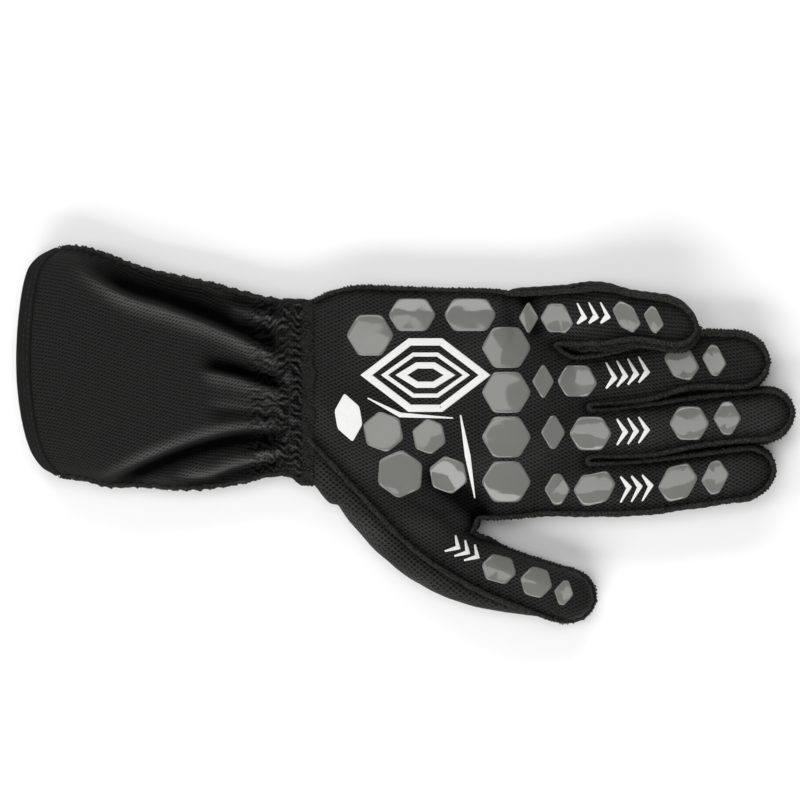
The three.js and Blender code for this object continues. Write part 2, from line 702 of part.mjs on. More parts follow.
// How the spread hand comes to lie: each finger is drawn in, lifted and rolled from its hinge on.
function lyingPose(point) {
  const distances = fingers.map((f) => Math.abs(point.y - fingerMiddle(f, clamp(point.x, f.hinge, f.tip))));
  const finger = fingers[distances.indexOf(Math.min(...distances))];
  if (point.x <= finger.hinge || point.y < thumbBorder) return point;
  const share = (point.x - finger.hinge) / (finger.tip - finger.hinge);
  const widest = Math.max(...finger.sections.map((s) => s.width)) / 2;
  const fromFarEdge = Math.max(0, widest - (point.y - fingerMiddle(finger, point.x)));
  return new THREE.Vector3(
    point.x,
    point.y - spreading(finger, point.x),
    point.z + share * (finger.lift + finger.roll * fromFarEdge),
  );
}

function posed(solid) {
  return solid.simplify(simplifyTolerance).warp((vertex) => {
    const point = lyingPose(new THREE.Vector3(...vertex));
    vertex[0] = point.x;
    vertex[1] = point.y;
    vertex[2] = point.z;
  });
}

const group = new THREE.Group();
const cloth = new THREE.MeshStandardMaterial({ color: 0x1b1b1c, roughness: 0.85, metalness: 0 });
const thread = new THREE.MeshStandardMaterial({ color: 0x0f0f10, roughness: 0.9, metalness: 0 });
const silicone = new THREE.MeshStandardMaterial({ color: 0x808284, roughness: 0.3, metalness: 0 });
for (const [solids, material] of [[clothPanels(), cloth], [seamRidges(), thread], [gripPads(), silicone]])
  for (const [name, solid] of Object.entries(solids)) {
    const mesh = new THREE.Mesh(toGeometry(mainBody(posed(solid))), material);
    mesh.name = name;
    group.add(mesh);
  }

// The frame's origin is below the middle of the whole, on the surface it lies on
const whole = new THREE.Box3().setFromObject(group);
const middle = whole.getCenter(new THREE.Vector3());
group.children.forEach((mesh) => mesh.geometry.translate(-middle.x, -middle.y, -whole.min.z));

export default group;
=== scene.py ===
import bpy
import math
import numpy as np
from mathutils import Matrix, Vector, noise
from mathutils.bvhtree import BVHTree
from mathutils.kdtree import KDTree


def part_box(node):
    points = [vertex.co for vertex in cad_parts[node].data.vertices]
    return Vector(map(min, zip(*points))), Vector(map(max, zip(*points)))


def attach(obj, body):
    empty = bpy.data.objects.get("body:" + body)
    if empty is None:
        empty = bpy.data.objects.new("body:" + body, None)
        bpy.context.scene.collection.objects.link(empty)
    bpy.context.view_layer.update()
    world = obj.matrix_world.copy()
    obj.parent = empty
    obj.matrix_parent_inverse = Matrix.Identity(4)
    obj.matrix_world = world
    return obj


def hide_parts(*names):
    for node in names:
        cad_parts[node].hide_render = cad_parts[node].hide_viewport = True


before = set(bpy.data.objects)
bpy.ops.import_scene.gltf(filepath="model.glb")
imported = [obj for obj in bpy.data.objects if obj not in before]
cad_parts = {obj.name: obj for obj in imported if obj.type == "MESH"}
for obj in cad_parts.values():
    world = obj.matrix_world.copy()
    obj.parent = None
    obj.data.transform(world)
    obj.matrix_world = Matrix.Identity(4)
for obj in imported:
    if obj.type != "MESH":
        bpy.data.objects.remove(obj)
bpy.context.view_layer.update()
scene = bpy.context.scene
mm = 0.001
floorGap = 0.05  # the cloth's least height over the floor

# The shape is worked out in millimetres from the wrist seam and the hand's middle line,
# and moved to the frame at the end
wristLow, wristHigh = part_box("seam_wrist")
wristCentre = 5.83
toFrame = np.array([
    (wristLow.x + wristHigh.x) / 2 / mm,
    (wristLow.y + wristHigh.y) / 2 / mm - wristCentre,
    0.0,
])


# Small helpers
def smooth(t):
    t = np.clip(t, 0, 1)
    return t * t * (3 - 2 * t)


def lerp(a, b, t):
    return a + (b - a) * t


def bell(t):
    return np.exp(-(t**2))


def throughTable(places, values, x):
    # a smooth curve through the table's values that never overshoots them
    places, values = np.asarray(places, float), np.asarray(values, float)
    rise = np.diff(values) / np.diff(places)
    slope = np.concatenate([[rise[0]], (rise[1:] + rise[:-1]) / 2, [rise[-1]]])
    inner = slope[1:-1]
    limit = 3 * np.minimum(np.abs(rise[1:]), np.abs(rise[:-1]))
    inner[:] = np.where(rise[1:] * rise[:-1] > 0, np.clip(inner, -limit, limit), 0)
    i = np.clip(np.searchsorted(places, x, side="right") - 1, 0, len(places) - 2)
    run = places[i + 1] - places[i]
    t = np.clip((x - places[i]) / run, 0, 1)
    return (
        (1 + 2 * t) * (1 - t) ** 2 * values[i]
        + t * (1 - t) ** 2 * run * slope[i]
        + t * t * (3 - 2 * t) * values[i + 1]
        + t * t * (t - 1) * run * slope[i + 1]
    )


def noiseAt(points, lump, seed):
    # soft noise from -1 to 1 at each point, with lumps of about this size
    offset = Vector((seed * 17.3, seed * 5.1, seed * 9.7))
    return np.array([noise.noise(Vector(p) / lump + offset) for p in points])


def noiseOver(x, y, lump, seed):
    flat = np.column_stack([np.ravel(x), np.ravel(y), np.zeros(np.size(x))])
    return noiseAt(flat, lump, seed).reshape(np.shape(x))


def noiseAlong(run, lump, seed, beside=0):
    return noiseAt(np.column_stack([run, 0 * run + beside, 0 * run]), lump, seed)


def unit(vectors):
    return vectors / np.maximum(np.linalg.norm(vectors, axis=-1, keepdims=True), 1e-9)


def runsAlong(points):
    # the distance run at each point of a path
    return np.concatenate([[0], np.cumsum(np.linalg.norm(np.diff(points, axis=0), axis=1))])


def softened(values, times, own=1):
    # each value drawn towards its neighbours, the ends kept; own is its own weight
    for _ in range(times):
        values[1:-1] = (values[:-2] + own * values[1:-1] + values[2:]) / (own + 2)
    return values


def softenedRound(values, times, own=1):
    for _ in range(times):
        values = (np.roll(values, 1, 0) + own * values + np.roll(values, -1, 0)) / (own + 2)
    return values


def gridFaces(rows, columns, closedRows=False, closedColumns=False, flipped=False):
    faces = []
    for r in range(rows if closedRows else rows - 1):
        near, far = r * columns, (r + 1) % rows * columns
        for c in range(columns if closedColumns else columns - 1):
            n = (c + 1) % columns
            if flipped:
                faces.append((near + c, far + c, far + n, near + n))
            else:
                faces.append((near + c, near + n, far + n, far + c))
    return faces


def tubeFaces(rows, sides):
    # a tube of rings, closed at both ends
    last = (rows - 1) * sides
    ends = [tuple(range(sides)), tuple(last + k for k in reversed(range(sides)))]
    return gridFaces(rows, sides, closedColumns=True, flipped=True) + ends


def loftFaces(rows, sides):
    # as tubeFaces, but the ends are strips of quads, for the remesh
    faces = gridFaces(rows, sides, closedColumns=True)
    last = (rows - 1) * sides
    for k in range(sides // 2):
        low, lowNext = (sides - k) % sides, sides - k - 1
        first = [k, low, lowNext, k + 1]
        faces.append([i for n, i in enumerate(first) if i not in first[:n]])
        faces.append([last + i for i in reversed(faces[-1])])
    return faces


def makeMesh(name, points, faces, smoothShade=True):
    mesh = bpy.data.meshes.new(name)
    mesh.from_pydata((np.asarray(points, float)).tolist(), [], [list(map(int, f)) for f in faces])
    mesh.update()
    if smoothShade:
        mesh.shade_smooth()
    piece = bpy.data.objects.new(name, mesh)
    scene.collection.objects.link(piece)
    return piece


def evaluatedMesh(piece):
    # the piece's mesh with its modifiers worked in
    depsgraph = bpy.context.evaluated_depsgraph_get()
    mesh = bpy.data.meshes.new_from_object(piece.evaluated_get(depsgraph))
    mesh.name = piece.name
    return mesh


def bake(piece):
    # modifiers become plain mesh
    mesh = evaluatedMesh(piece)
    piece.modifiers.clear()
    old = piece.data
    piece.data = mesh
    bpy.data.meshes.remove(old)
    return piece


def pointsOf(mesh):
    co = np.empty(len(mesh.vertices) * 3)
    mesh.vertices.foreach_get("co", co)
    return co.reshape(-1, 3)


def normalsOf(mesh, points):
    # the mesh's normals once its points are moved to these
    mesh.vertices.foreach_set("co", points.astype(np.float32).ravel())
    mesh.update()
    return np.array([v.normal for v in mesh.vertices])


def writeMap(mesh, name, flat):
    loops = np.empty(len(mesh.loops), int)
    mesh.loops.foreach_get("vertex_index", loops)
    mesh.uv_layers.new(name=name).data.foreach_set("uv", flat[loops].astype(np.float32).ravel())


def writeValues(mesh, name, values):
    attribute = mesh.attributes.new(name, "FLOAT", "POINT")
    attribute.data.foreach_set("value", np.ravel(values).astype(np.float32))


def joinPieces(name, pieces):
    # several meshes as one piece, each face keeping its material
    materials, points, faces, slots, base = [], [], [], [], 0
    for piece in pieces:
        own = list(piece.data.materials)
        for m in own:
            if m not in materials:
                materials.append(m)
        points.append(pointsOf(piece.data))
        for face in piece.data.polygons:
            faces.append(tuple(i + base for i in face.vertices))
            slots.append(materials.index(own[face.material_index]) if own else 0)
        base += len(piece.data.vertices)
        old = piece.data
        bpy.data.objects.remove(piece)
        bpy.data.meshes.remove(old)
    joinedPiece = makeMesh(name, np.concatenate(points), faces)
    for m in materials:
        joinedPiece.data.materials.append(m)
    joinedPiece.data.polygons.foreach_set("material_index", slots)
    return joinedPiece


def surfaceTree(points, faces):
    return BVHTree.FromPolygons([tuple(p) for p in points], faces)


def pointTree(points):
    tree = KDTree(len(points))
    for i, p in enumerate(points):
        tree.insert(Vector(p), i)
    tree.balance()
    return tree


def normalsAt(tree, points):
    # the surface's normals nearest each point
    found = [tree.find_nearest(Vector(p))[1] for p in points.reshape(-1, 3)]
    return np.array(found).reshape(points.shape)


def linear(hexColour):
    # sRGB hex to the linear colour that a shader socket takes
    parts = [int(hexColour[i : i + 2], 16) / 255 for i in (1, 3, 5)]
    return [c / 12.92 if c <= 0.04045 else ((c + 0.055) / 1.055) ** 2.4 for c in parts] + [1]


def setInputs(tree, node, inputs):
    # inputs are numbers, colours or other nodes' outputs
    for name, value in inputs.items():
        socket = node.inputs[name]
        if isinstance(value, bpy.types.NodeSocket):
            tree.links.new(value, socket)
        else:
            socket.default_value = value


def addNode(tree, kind, inputs=None, **settings):
    # adds one node: settings are its properties
    added = tree.nodes.new(kind)
    for name, value in settings.items():
        setattr(added, name, value)
    setInputs(tree, added, inputs or {})
    return added


# Camera, lights and floor
photo = {"width": 334.0, "centreX": -2.6, "centreY": 14.27, "distance": 3000.0, "sensor": 36}
cameraData = bpy.data.cameras.new("camera")
cameraData.sensor_width = photo["sensor"]
cameraData.lens = photo["sensor"] * photo["distance"] / photo["width"]
cameraData.clip_end = 50
camera = bpy.data.objects.new("camera", cameraData)
camera.location = (photo["centreX"] * mm, photo["centreY"] * mm, photo["distance"] * mm)
scene.collection.objects.link(camera)
scene.camera = camera

softboxes = [
    {"name": "topBox", "place": (-0.15, 0.2, 1.6), "size": (1.2, 1.0), "watts": 10},
    {"name": "lowBox", "place": (-0.35, -1.6, 1.1), "size": (2.0, 1.1), "watts": 38},
    {"name": "highBox", "place": (-0.2, 1.7, 0.95), "size": (2.0, 0.8), "watts": 24},
    {"name": "leftBox", "place": (-1.45, 0.1, 1.1), "size": (0.6, 1.2), "watts": 6},
]
for box in softboxes:
    lightData = bpy.data.lights.new(box["name"], "AREA")
    lightData.shape = "RECTANGLE"
    lightData.size, lightData.size_y = box["size"]
    lightData.energy = box["watts"]
    light = bpy.data.objects.new(box["name"], lightData)
    light.location = box["place"]
    light.visible_camera = False
    light.rotation_euler = (-Vector(box["place"])).to_track_quat("-Z", "Y").to_euler()
    scene.collection.objects.link(light)

studio = {"colour": (1, 1, 1, 1), "strength": 0.12, "floor": 4.0}
world = bpy.data.worlds.new("studio")
scene.world = world
world.use_nodes = True
background = world.node_tree.nodes["Background"]
background.inputs["Color"].default_value = studio["colour"]
background.inputs["Strength"].default_value = studio["strength"]
scene.view_settings.view_transform = "Standard"

floorCorners = np.array([(-1, -1, 0), (1, -1, 0), (1, 1, 0), (-1, 1, 0)]) * studio["floor"]
floor = makeMesh("floor", floorCorners, [(0, 1, 2, 3)], smoothShade=False)
print("camera, lights and floor are set")


# Materials
def newMaterial(name):
    material = bpy.data.materials.new(name)
    material.use_nodes = True
    tree = material.node_tree
    return material, tree, tree.nodes["Principled BSDF"]


def backdropPaper():
    # matt white paper, a little uneven
    material, tree, shader = newMaterial("backdropPaper")
    place = addNode(tree, "ShaderNodeTexCoord").outputs["Object"]
    grain = addNode(tree, "ShaderNodeTexNoise", {"Vector": place, "Scale": 3.0})
    tones = {"Factor": grain.outputs["Fac"], "A": linear("#f4f4f4"), "B": linear("#fafafa")}
    tone = addNode(tree, "ShaderNodeMix", tones, data_type="RGBA")
    setInputs(tree, shader, {
        "Base Color": tone.outputs["Result"], "Roughness": 0.95, "Specular IOR Level": 0.1,
    })
    return material


def knitCloth(name, holeLength, holePitch, slant, ground, hollow, depth):
    # black polyester mesh knit: staggered oblong holes between matt yarns, a faint sheen at
    # grazing angles; the holes are drawn about twice their real size, so that they show
    material, tree, shader = newMaterial(name)
    place = addNode(tree, "ShaderNodeUVMap", uv_map="cloth").outputs["UV"]
    waver = addNode(tree, "ShaderNodeTexNoise", {"Vector": place, "Scale": 0.35, "Detail": 2.0})
    wavering = {0: waver.outputs["Color"], 1: (0.9, 0.9, 0)}
    bent = addNode(tree, "ShaderNodeVectorMath", wavering, operation="MULTIPLY")

    def wave(along, pitch):
        turned = addNode(tree, "ShaderNodeMath", {0: along, 1: 2 * math.pi / pitch}, operation="MULTIPLY")
        return addNode(tree, "ShaderNodeMath", {0: turned.outputs[0]}, operation="COSINE").outputs[0]

    def latticeOver(flatPlace):
        # two crossed waves are high on a staggered lattice, where the holes are
        moving = {0: flatPlace, 1: bent.outputs["Vector"]}
        moved = addNode(tree, "ShaderNodeVectorMath", moving, operation="ADD")
        parts = addNode(tree, "ShaderNodeSeparateXYZ", {"Vector": moved.outputs["Vector"]}).outputs
        slanting = {0: parts["X"], 1: slant, 2: parts["Y"]}
        slanted = addNode(tree, "ShaderNodeMath", slanting, operation="MULTIPLY_ADD")
        waves = {0: wave(parts["X"], holeLength), 1: wave(slanted.outputs[0], holePitch)}
        return addNode(tree, "ShaderNodeMath", waves, operation="MULTIPLY").outputs[0]

    # the knit runs on from the flat of the cloth to its upright sides, each with a map of its own
    flatKnit = latticeOver(place)
    sideKnit = latticeOver(addNode(tree, "ShaderNodeUVMap", uv_map="side").outputs["UV"])
    upright = addNode(tree, "ShaderNodeAttribute", attribute_name="steep")
    change = addNode(tree, "ShaderNodeMath", {0: sideKnit, 1: flatKnit}, operation="SUBTRACT")
    mixing = {0: change.outputs[0], 1: upright.outputs["Fac"], 2: flatKnit}
    lattice = addNode(tree, "ShaderNodeMath", mixing, operation="MULTIPLY_ADD")
    cutting = {"Value": lattice.outputs[0], "From Min": -0.1, "From Max": 0.6}
    holes = addNode(tree, "ShaderNodeMapRange", cutting, interpolation_type="SMOOTHSTEP")
    yarn = addNode(tree, "ShaderNodeTexNoise", {"Vector": place, "Scale": 2.6, "Detail": 3.0})
    patch = addNode(tree, "ShaderNodeTexNoise", {"Vector": place, "Scale": 0.05, "Detail": 2.0})
    dyes = {"Factor": patch.outputs["Fac"], "A": linear(ground[0]), "B": linear(ground[1])}
    dye = addNode(tree, "ShaderNodeMix", dyes, data_type="RGBA")
    lights = {"Factor": yarn.outputs["Fac"], "A": dye.outputs["Result"], "B": linear(ground[2])}
    lit = addNode(tree, "ShaderNodeMix", lights, data_type="RGBA")
    hollows = {"Factor": holes.outputs["Result"], "A": lit.outputs["Result"], "B": linear(hollow)}
    knit = addNode(tree, "ShaderNodeMix", hollows, data_type="RGBA")
    # painted light and shade: the colour is painted paler on a crest as a highlight and darker in a trough as
    # shade; on the hand the same attribute also carries a tone that differs at random
    paintedShadingAndTone = addNode(tree, "ShaderNodeAttribute", attribute_name="paintedShadingAndTone").outputs["Fac"]
    paintedCrestLightRange = {"Value": paintedShadingAndTone, "From Min": 0.0, "From Max": 1.0, "To Min": 1.0, "To Max": 4.0}
    crest = addNode(tree, "ShaderNodeMapRange", paintedCrestLightRange)
    paintedTroughShadeRange = {"Value": paintedShadingAndTone, "From Min": -1.0, "From Max": 0.0, "To Min": 0.08, "To Max": 1.0}
    trough = addNode(tree, "ShaderNodeMapRange", paintedTroughShadeRange)
    folding = {0: crest.outputs[0], 1: trough.outputs[0]}
    paintedFoldShading = addNode(tree, "ShaderNodeMath", folding, operation="MULTIPLY").outputs[0]
    shading = {0: knit.outputs["Result"], "Scale": paintedFoldShading}
    shade = addNode(tree, "ShaderNodeVectorMath", shading, operation="SCALE")
    relief = {0: holes.outputs["Result"], 1: -1.0, 2: yarn.outputs["Fac"]}
    height = addNode(tree, "ShaderNodeMath", relief, operation="MULTIPLY_ADD")
    raising = {"Height": height.outputs[0], "Strength": 0.8, "Distance": depth * mm}
    bump = addNode(tree, "ShaderNodeBump", raising)
    # the specular level is scaled by the same painted light and shade, a painted sheen on the crests
    paintedSheenLevel = addNode(tree, "ShaderNodeMath", {0: paintedFoldShading, 1: 0.12}, operation="MULTIPLY")
    # stands where the link is dropped
    shader.inputs["Specular IOR Level"].default_value = 0.12  # the socket's own number, kept alongside the link
    setInputs(tree, shader, {
        "Base Color": shade.outputs[0], "Normal": bump.outputs["Normal"],
        "Specular IOR Level": paintedSheenLevel.outputs[0], "Roughness": 0.66,
    })
    return material


def spunThread():
    # black polyester sewing thread, fuzzy: matt with small paler fibres
    material, tree, shader = newMaterial("spunThread")
    place = addNode(tree, "ShaderNodeTexCoord").outputs["Object"]
    fibre = addNode(tree, "ShaderNodeTexNoise", {"Vector": place, "Scale": 1400.0, "Detail": 3.0})
    contrast = {"Value": fibre.outputs["Fac"], "From Min": 0.35, "From Max": 0.75}
    tone = addNode(tree, "ShaderNodeMapRange", contrast)
    dyes = {"Factor": tone.outputs["Result"], "A": linear("#060606"), "B": linear("#3a3a37")}
    dye = addNode(tree, "ShaderNodeMix", dyes, data_type="RGBA")
    # painted shade: the thread is painted darker between the fingers, where it lies in shade
    paintedShadingAndTone = addNode(tree, "ShaderNodeAttribute", attribute_name="paintedShadingAndTone")
    paintedThreadShadeRange = {"Value": paintedShadingAndTone.outputs["Fac"], "From Min": -1.0, "From Max": 0.0, "To Min": 0.2, "To Max": 1.0}
    depth = addNode(tree, "ShaderNodeMapRange", paintedThreadShadeRange)
    shading = {0: dye.outputs["Result"], "Scale": depth.outputs[0]}
    shade = addNode(tree, "ShaderNodeVectorMath", shading, operation="SCALE")
    raising = {"Height": fibre.outputs["Fac"], "Strength": 0.9, "Distance": 0.3 * mm}
    bump = addNode(tree, "ShaderNodeBump", raising)
    setInputs(tree, shader, {
        "Base Color": shade.outputs[0], "Normal": bump.outputs["Normal"],
        "Roughness": 0.75, "Specular IOR Level": 0.15,
    })
    return material


def castSilicone():
    # screen-cast silicone: smooth grey gel, glossy, with slow waves in its surface
    material, tree, shader = newMaterial("castSilicone")
    place = addNode(tree, "ShaderNodeTexCoord").outputs["Object"]
    cloud = addNode(tree, "ShaderNodeTexNoise", {"Vector": place, "Scale": 45.0, "Detail": 1.0})
    greys = {"Factor": cloud.outputs["Fac"], "A": linear("#6a6b67"), "B": linear("#72736e")}
    shade = addNode(tree, "ShaderNodeMix", greys, data_type="RGBA")
    ripple = addNode(tree, "ShaderNodeTexNoise", {"Vector": place, "Scale": 90.0, "Detail": 0.5})
    raising = {"Height": ripple.outputs["Fac"], "Strength": 0.25, "Distance": 1.0 * mm}
    bump = addNode(tree, "ShaderNodeBump", raising)
    setInputs(tree, shader, {
        "Base Color": shade.outputs["Result"], "Normal": bump.outputs["Normal"],
        "Roughness": 0.08, "IOR": 1.5,
    })
    return material


def inkPrint():
    # white rubber-based textile print, matt, with the cloth's grain faintly through it
    material, tree, shader = newMaterial("inkPrint")
    place = addNode(tree, "ShaderNodeTexCoord").outputs["Object"]
    grain = addNode(tree, "ShaderNodeTexNoise", {"Vector": place, "Scale": 900.0, "Detail": 2.0})
    whites = {"Factor": grain.outputs["Fac"], "A": linear("#d2d2d0"), "B": linear("#dededc")}
    shade = addNode(tree, "ShaderNodeMix", whites, data_type="RGBA")
    raising = {"Height": grain.outputs["Fac"], "Strength": 0.3, "Distance": 0.15 * mm}
    bump = addNode(tree, "ShaderNodeBump", raising)
    setInputs(tree, shader, {
        "Base Color": shade.outputs["Result"], "Normal": bump.outputs["Normal"], "Roughness": 0.6,
    })
    return material


floor.data.materials.append(backdropPaper())
knits = {  # holes and bump in millimetres; ground is the darkest yarn, a paler dye lot and the lit yarn
    "cuffKnit": {"holeLength": 2.7, "holePitch": 1.55, "slant": 0.45, "depth": 0.6,
                 "ground": ("#0d0d0d", "#131312", "#2d2d2c"), "hollow": "#020202"},
    "palmKnit": {"holeLength": 2.9, "holePitch": 1.6, "slant": 0.15, "depth": 0.6,
                 "ground": ("#0f0f0f", "#151514", "#323231"), "hollow": "#020202"},
    "backKnit": {"holeLength": 2.7, "holePitch": 2.2, "slant": 0.0, "depth": 0.6,
                 "ground": ("#121211", "#181817", "#353534"), "hollow": "#020202"},
    "hemKnit": {"holeLength": 0.9, "holePitch": 0.7, "slant": 0.0, "depth": 0.15,
                "ground": ("#0d0d0d", "#131312", "#1c1c1b"), "hollow": "#080808"},
}
cuffKnit, palmKnit, backKnit, hemKnit = (knitCloth(name, **look) for name, look in knits.items())
thread = spunThread()
silicone = castSilicone()
ink = inkPrint()
print("materials are ready")

# The glove's sizes and sections, in millimetres and shares, much the same as the solids have
size = {
    "wall": 1.6, "cuffLength": 121, "cuffWidth": 93, "cuffDepth": 27,
    "wristWidth": 70.5, "wristDepth": 23, "palmLength": 121, "palmWidth": 94, "palmDepth": 24,
    "edge": 11, "webSetback": 16, "fingerLength": 84.5, "fingerWidth": 24, "fingerDepth": 16.5,
    "fingerEdge": 8, "thumbWidth": 31, "thumbDepth": 20, "tipRounding": 13, "leastHalf": 1.2,
    "frontSeam": 13, "backSeam": 4.6, "thumbSeam": 5.5, "wristClear": 1.5,
}
mouthRow = (1.0, 0.178, 1.0, 0.9)
cuffRows = [  # place, centre, spread, deep
    (0.86, 0.17, 1.07, 0.98), (0.72, 0.14, 1.05, 1.0), (0.58, 0.11, 0.82, 1.0), (0.45, 0.086, 0.7, 0.95),
    (0.31, 0.072, 0.49, 0.7), (0.2, 0.065, 0.22, 0.3), (0.14, 0.066, 0.04, 0.1), (0.07, 0.065, 0.0, 0.0),
]
handRows = [  # place, centre, spread, deep, thin
    (0.0, 0.062, 0.0, 0.0, 1), (0.072, 0.029, 0.58, 0.55, 1), (0.16, 0.02, 0.86, 0.9, 1),
    (0.31, 0.002, 0.98, 1.0, 1), (0.52, -0.014, 1.04, 1.0, 1), (0.7, -0.012, 1.02, 0.9, 0.97),
    (0.86, -0.004, 1.05, 0.9, 0.78), (0.955, 0.0, 1.0, 0.9, 0.58),
]
folds = [  # from, to, lift, width
    ((-0.8, 0.6), (-0.12, 0.16), 2.6, 6), ((-0.66, 0.6), (-0.18, 0.36), -5.5, 6.5),
    ((-0.34, 0.24), (-0.12, 0.1), -2.4, 5), ((-0.7, -0.32), (-0.13, -0.08), 2.4, 6),
    ((-0.46, -0.3), (-0.16, -0.19), -4, 5.5), ((-0.3, -0.34), (-0.14, -0.3), -2, 4),
    ((0.6, -0.5), (0.42, -0.3), -2.6, 6), ((0.79, 0.3), (0.74, 0.46), -2.2, 4),
]
fingerRows = [  # sections: place along from the root, across, width
    {"name": "little", "root": 0.868, "length": 0.668, "tipAcross": 0.323,
     "depth": 0.92, "splay": 0.5, "lift": 0.655, "roll": 0.28,
     "sections": [(-0.362, 0.372, 1.0), (0.0, 0.372, 1.0), (0.276, 0.379, 1.05), (0.569, 0.37, 0.94)]},
    {"name": "ring", "root": 0.963, "length": 0.877, "tipAcross": 0.174,
     "depth": 1.0, "splay": 0.26, "lift": 0, "roll": 0.19,
     "sections": [(-0.272, 0.089, 0.81), (0.0, 0.102, 0.86), (0.338, 0.143, 1.0), (0.616, 0.183, 1.01)]},
    {"name": "middle", "root": 0.963, "length": 1.0, "tipAcross": -0.049,
     "depth": 1.0, "splay": 0, "lift": 0, "roll": 0.18,
     "sections": [(-0.243, -0.133, 0.8), (0.0, -0.132, 0.82), (0.302, -0.115, 0.92), (0.574, -0.083, 0.93)]},
    {"name": "index", "root": 0.963, "length": 0.908, "tipAcross": -0.302,
     "depth": 1.0, "splay": -0.24, "lift": 0, "roll": 0.03,
     "sections": [(-0.262, -0.388, 0.92), (0.0, -0.386, 0.95), (0.327, -0.373, 0.99), (0.595, -0.344, 0.98)]},
]
# in the picture each finger laps over the next, so here they are fuller towards the thumb than the
# solids, by a widening and a shift that reach up to a share of the finger's length
fuller = {"little": (1.17, -0.2), "ring": (1.1, -0.8), "middle": (1.1, -0.8), "index": (1.03, 0.0)}
fullerUpTo, elsewhere = 0.4, 1.02
fingers = []
for row in fingerRows:
    widening, shift = fuller[row["name"]]
    hinge, length = row["root"] * size["palmLength"], row["length"] * size["fingerLength"]
    sections = []
    for place, across, width in row["sections"]:
        full = 0 <= place < fullerUpTo
        sections.append((
            hinge + place * length,
            across * size["palmWidth"] + shift * full,
            width * size["fingerWidth"] * (widening if full else elsewhere),
        ))
    fingers.append({
        **row, "hinge": hinge, "tip": hinge + length, "rows": sections,
        "tipAcross": row["tipAcross"] * size["palmWidth"], "lift": row["lift"] * size["fingerDepth"],
    })
neighbours = list(zip(fingers[:-1], fingers[1:]))
thumbShares = [  # along, across, half, depth, seam
    (0.132, -0.234, 0.484, 1.0, 0.3), (0.264, -0.457, 0.516, 1.05, 0.29), (0.417, -0.644, 0.503, 1.05, 0.3),
    (0.595, -0.766, 0.445, 1.0, 0.45), (0.764, -0.824, 0.374, 0.92, 0.76), (0.876, -0.856, 0.342, 0.84, 0.97),
]
thumbRows = [
    (along * size["palmLength"], across * size["palmWidth"], half * size["thumbWidth"], depth, seam)
    for along, across, half, depth, seam in thumbShares
]
thumbTip = (0.977 * size["palmLength"], -0.883 * size["palmWidth"])

bodyTable = []
for place, centre, spread, deep in [mouthRow, *cuffRows]:
    half = lerp(size["wristWidth"], size["cuffWidth"], spread) / 2
    top = lerp(size["wristDepth"], size["cuffDepth"], deep)
    bodyTable.append((-place * size["cuffLength"], centre * size["cuffWidth"], half, top))
for place, centre, spread, deep, thin in handRows:
    half = lerp(size["wristWidth"], size["palmWidth"], spread) / 2
    top = lerp(size["wristDepth"], size["palmDepth"], deep) * thin
    bodyTable.append((place * size["palmLength"], centre * size["palmWidth"], half, top))
bodyPlaces, bodyCentres, bodyHalves, bodyTops = map(np.array, zip(*sorted(bodyTable)))


def foldLift(x, y):
    lift = np.zeros_like(x)
    for start, end, height, width in folds:
        scale = size["cuffLength"] if start[0] < 0 else size["palmLength"]
        a = np.array([start[0] * scale, start[1] * size["palmWidth"]])
        b = np.array([end[0] * scale, end[1] * size["palmWidth"]])
        axis = b - a
        length = np.hypot(*axis)
        share = ((x - a[0]) * axis[0] + (y - a[1]) * axis[1]) / length**2
        aside = np.abs((x - a[0]) * axis[1] - (y - a[1]) * axis[0]) / length / width
        lift += height * smooth(share * 3 + 0.6) * smooth((1 - share) * 3 + 0.6) * bell(aside)
    return lift


# Creases of the cuff, sharper than the solids' folds: a crest along a path, and a trough beside it
creases = [
    {"path": [(-101, 58.5), (-79, 44.5), (-57, 37), (-35, 28.5), (-13, 18)],
     "side": 1, "crest": 1.3, "trough": 2.6, "near": 4.5, "far": 12},
    {"path": [(-47, 13), (-30, 9.5), (-12, 3.5)],
     "side": 1, "crest": 1.0, "trough": 2.8, "near": 3.0, "far": 7},
    {"path": [(-90, -33.5), (-70, -24.5), (-50, -16.5), (-31, -11.5), (-12, -10.5)],
     "side": -1, "crest": 1.2, "trough": 2.8, "near": 4.0, "far": 8},
    {"path": [(-58, -31.5), (-44, -31), (-30, -26.5), (-12, -22.5)],
     "side": -1, "crest": 1.6, "trough": 1.6, "near": 3.0, "far": 6},
    {"path": [(-36, 40.5), (-24, 37), (-12, 33.5)],
     "side": 1, "crest": 1.0, "trough": 1.4, "near": 3.0, "far": 6},
    {"path": [(-44, -1.5), (-30, -2.5), (-12, -4.5)],
     "side": -1, "crest": 0.5, "trough": 1.0, "near": 3.0, "far": 6},
]
creaseWork = {
    "crestAt": -0.8, "fall": {1: 4.0, -1: 2.7}, "rise": 1.2, "crestLight": 0.68, "troughShade": 0.42,
}


def creaseShape(x, y):
    # how high the creases lift the cloth, and the painted highlight (1) on its crests or painted shade (-1)
    # in its troughs
    lift, light = np.zeros_like(x), np.zeros_like(x)
    for crease in creases:
        along, across = np.array(crease["path"]).T
        aside = (y - throughTable(along, across, x)) * crease["side"]
        length = along[-1] - along[0]
        run = smooth((x - along[0]) / (0.3 * length)) * smooth((along[-1] + 4 - x) / 8)
        off = aside - creaseWork["crestAt"]
        crest = bell(off / np.where(off < 0, creaseWork["fall"][crease["side"]], creaseWork["rise"]))
        trough = smooth(aside / crease["near"]) * smooth(1 - (aside - crease["near"]) / crease["far"])
        lift += run * (crease["crest"] * crest - crease["trough"] * trough)
        paintedCrestHighlight = creaseWork["crestLight"] * crease["crest"] * crest
        light += run * (paintedCrestHighlight - creaseWork["troughShade"] * crease["trough"] * trough)
    return lift, np.clip(light, -1, 1)


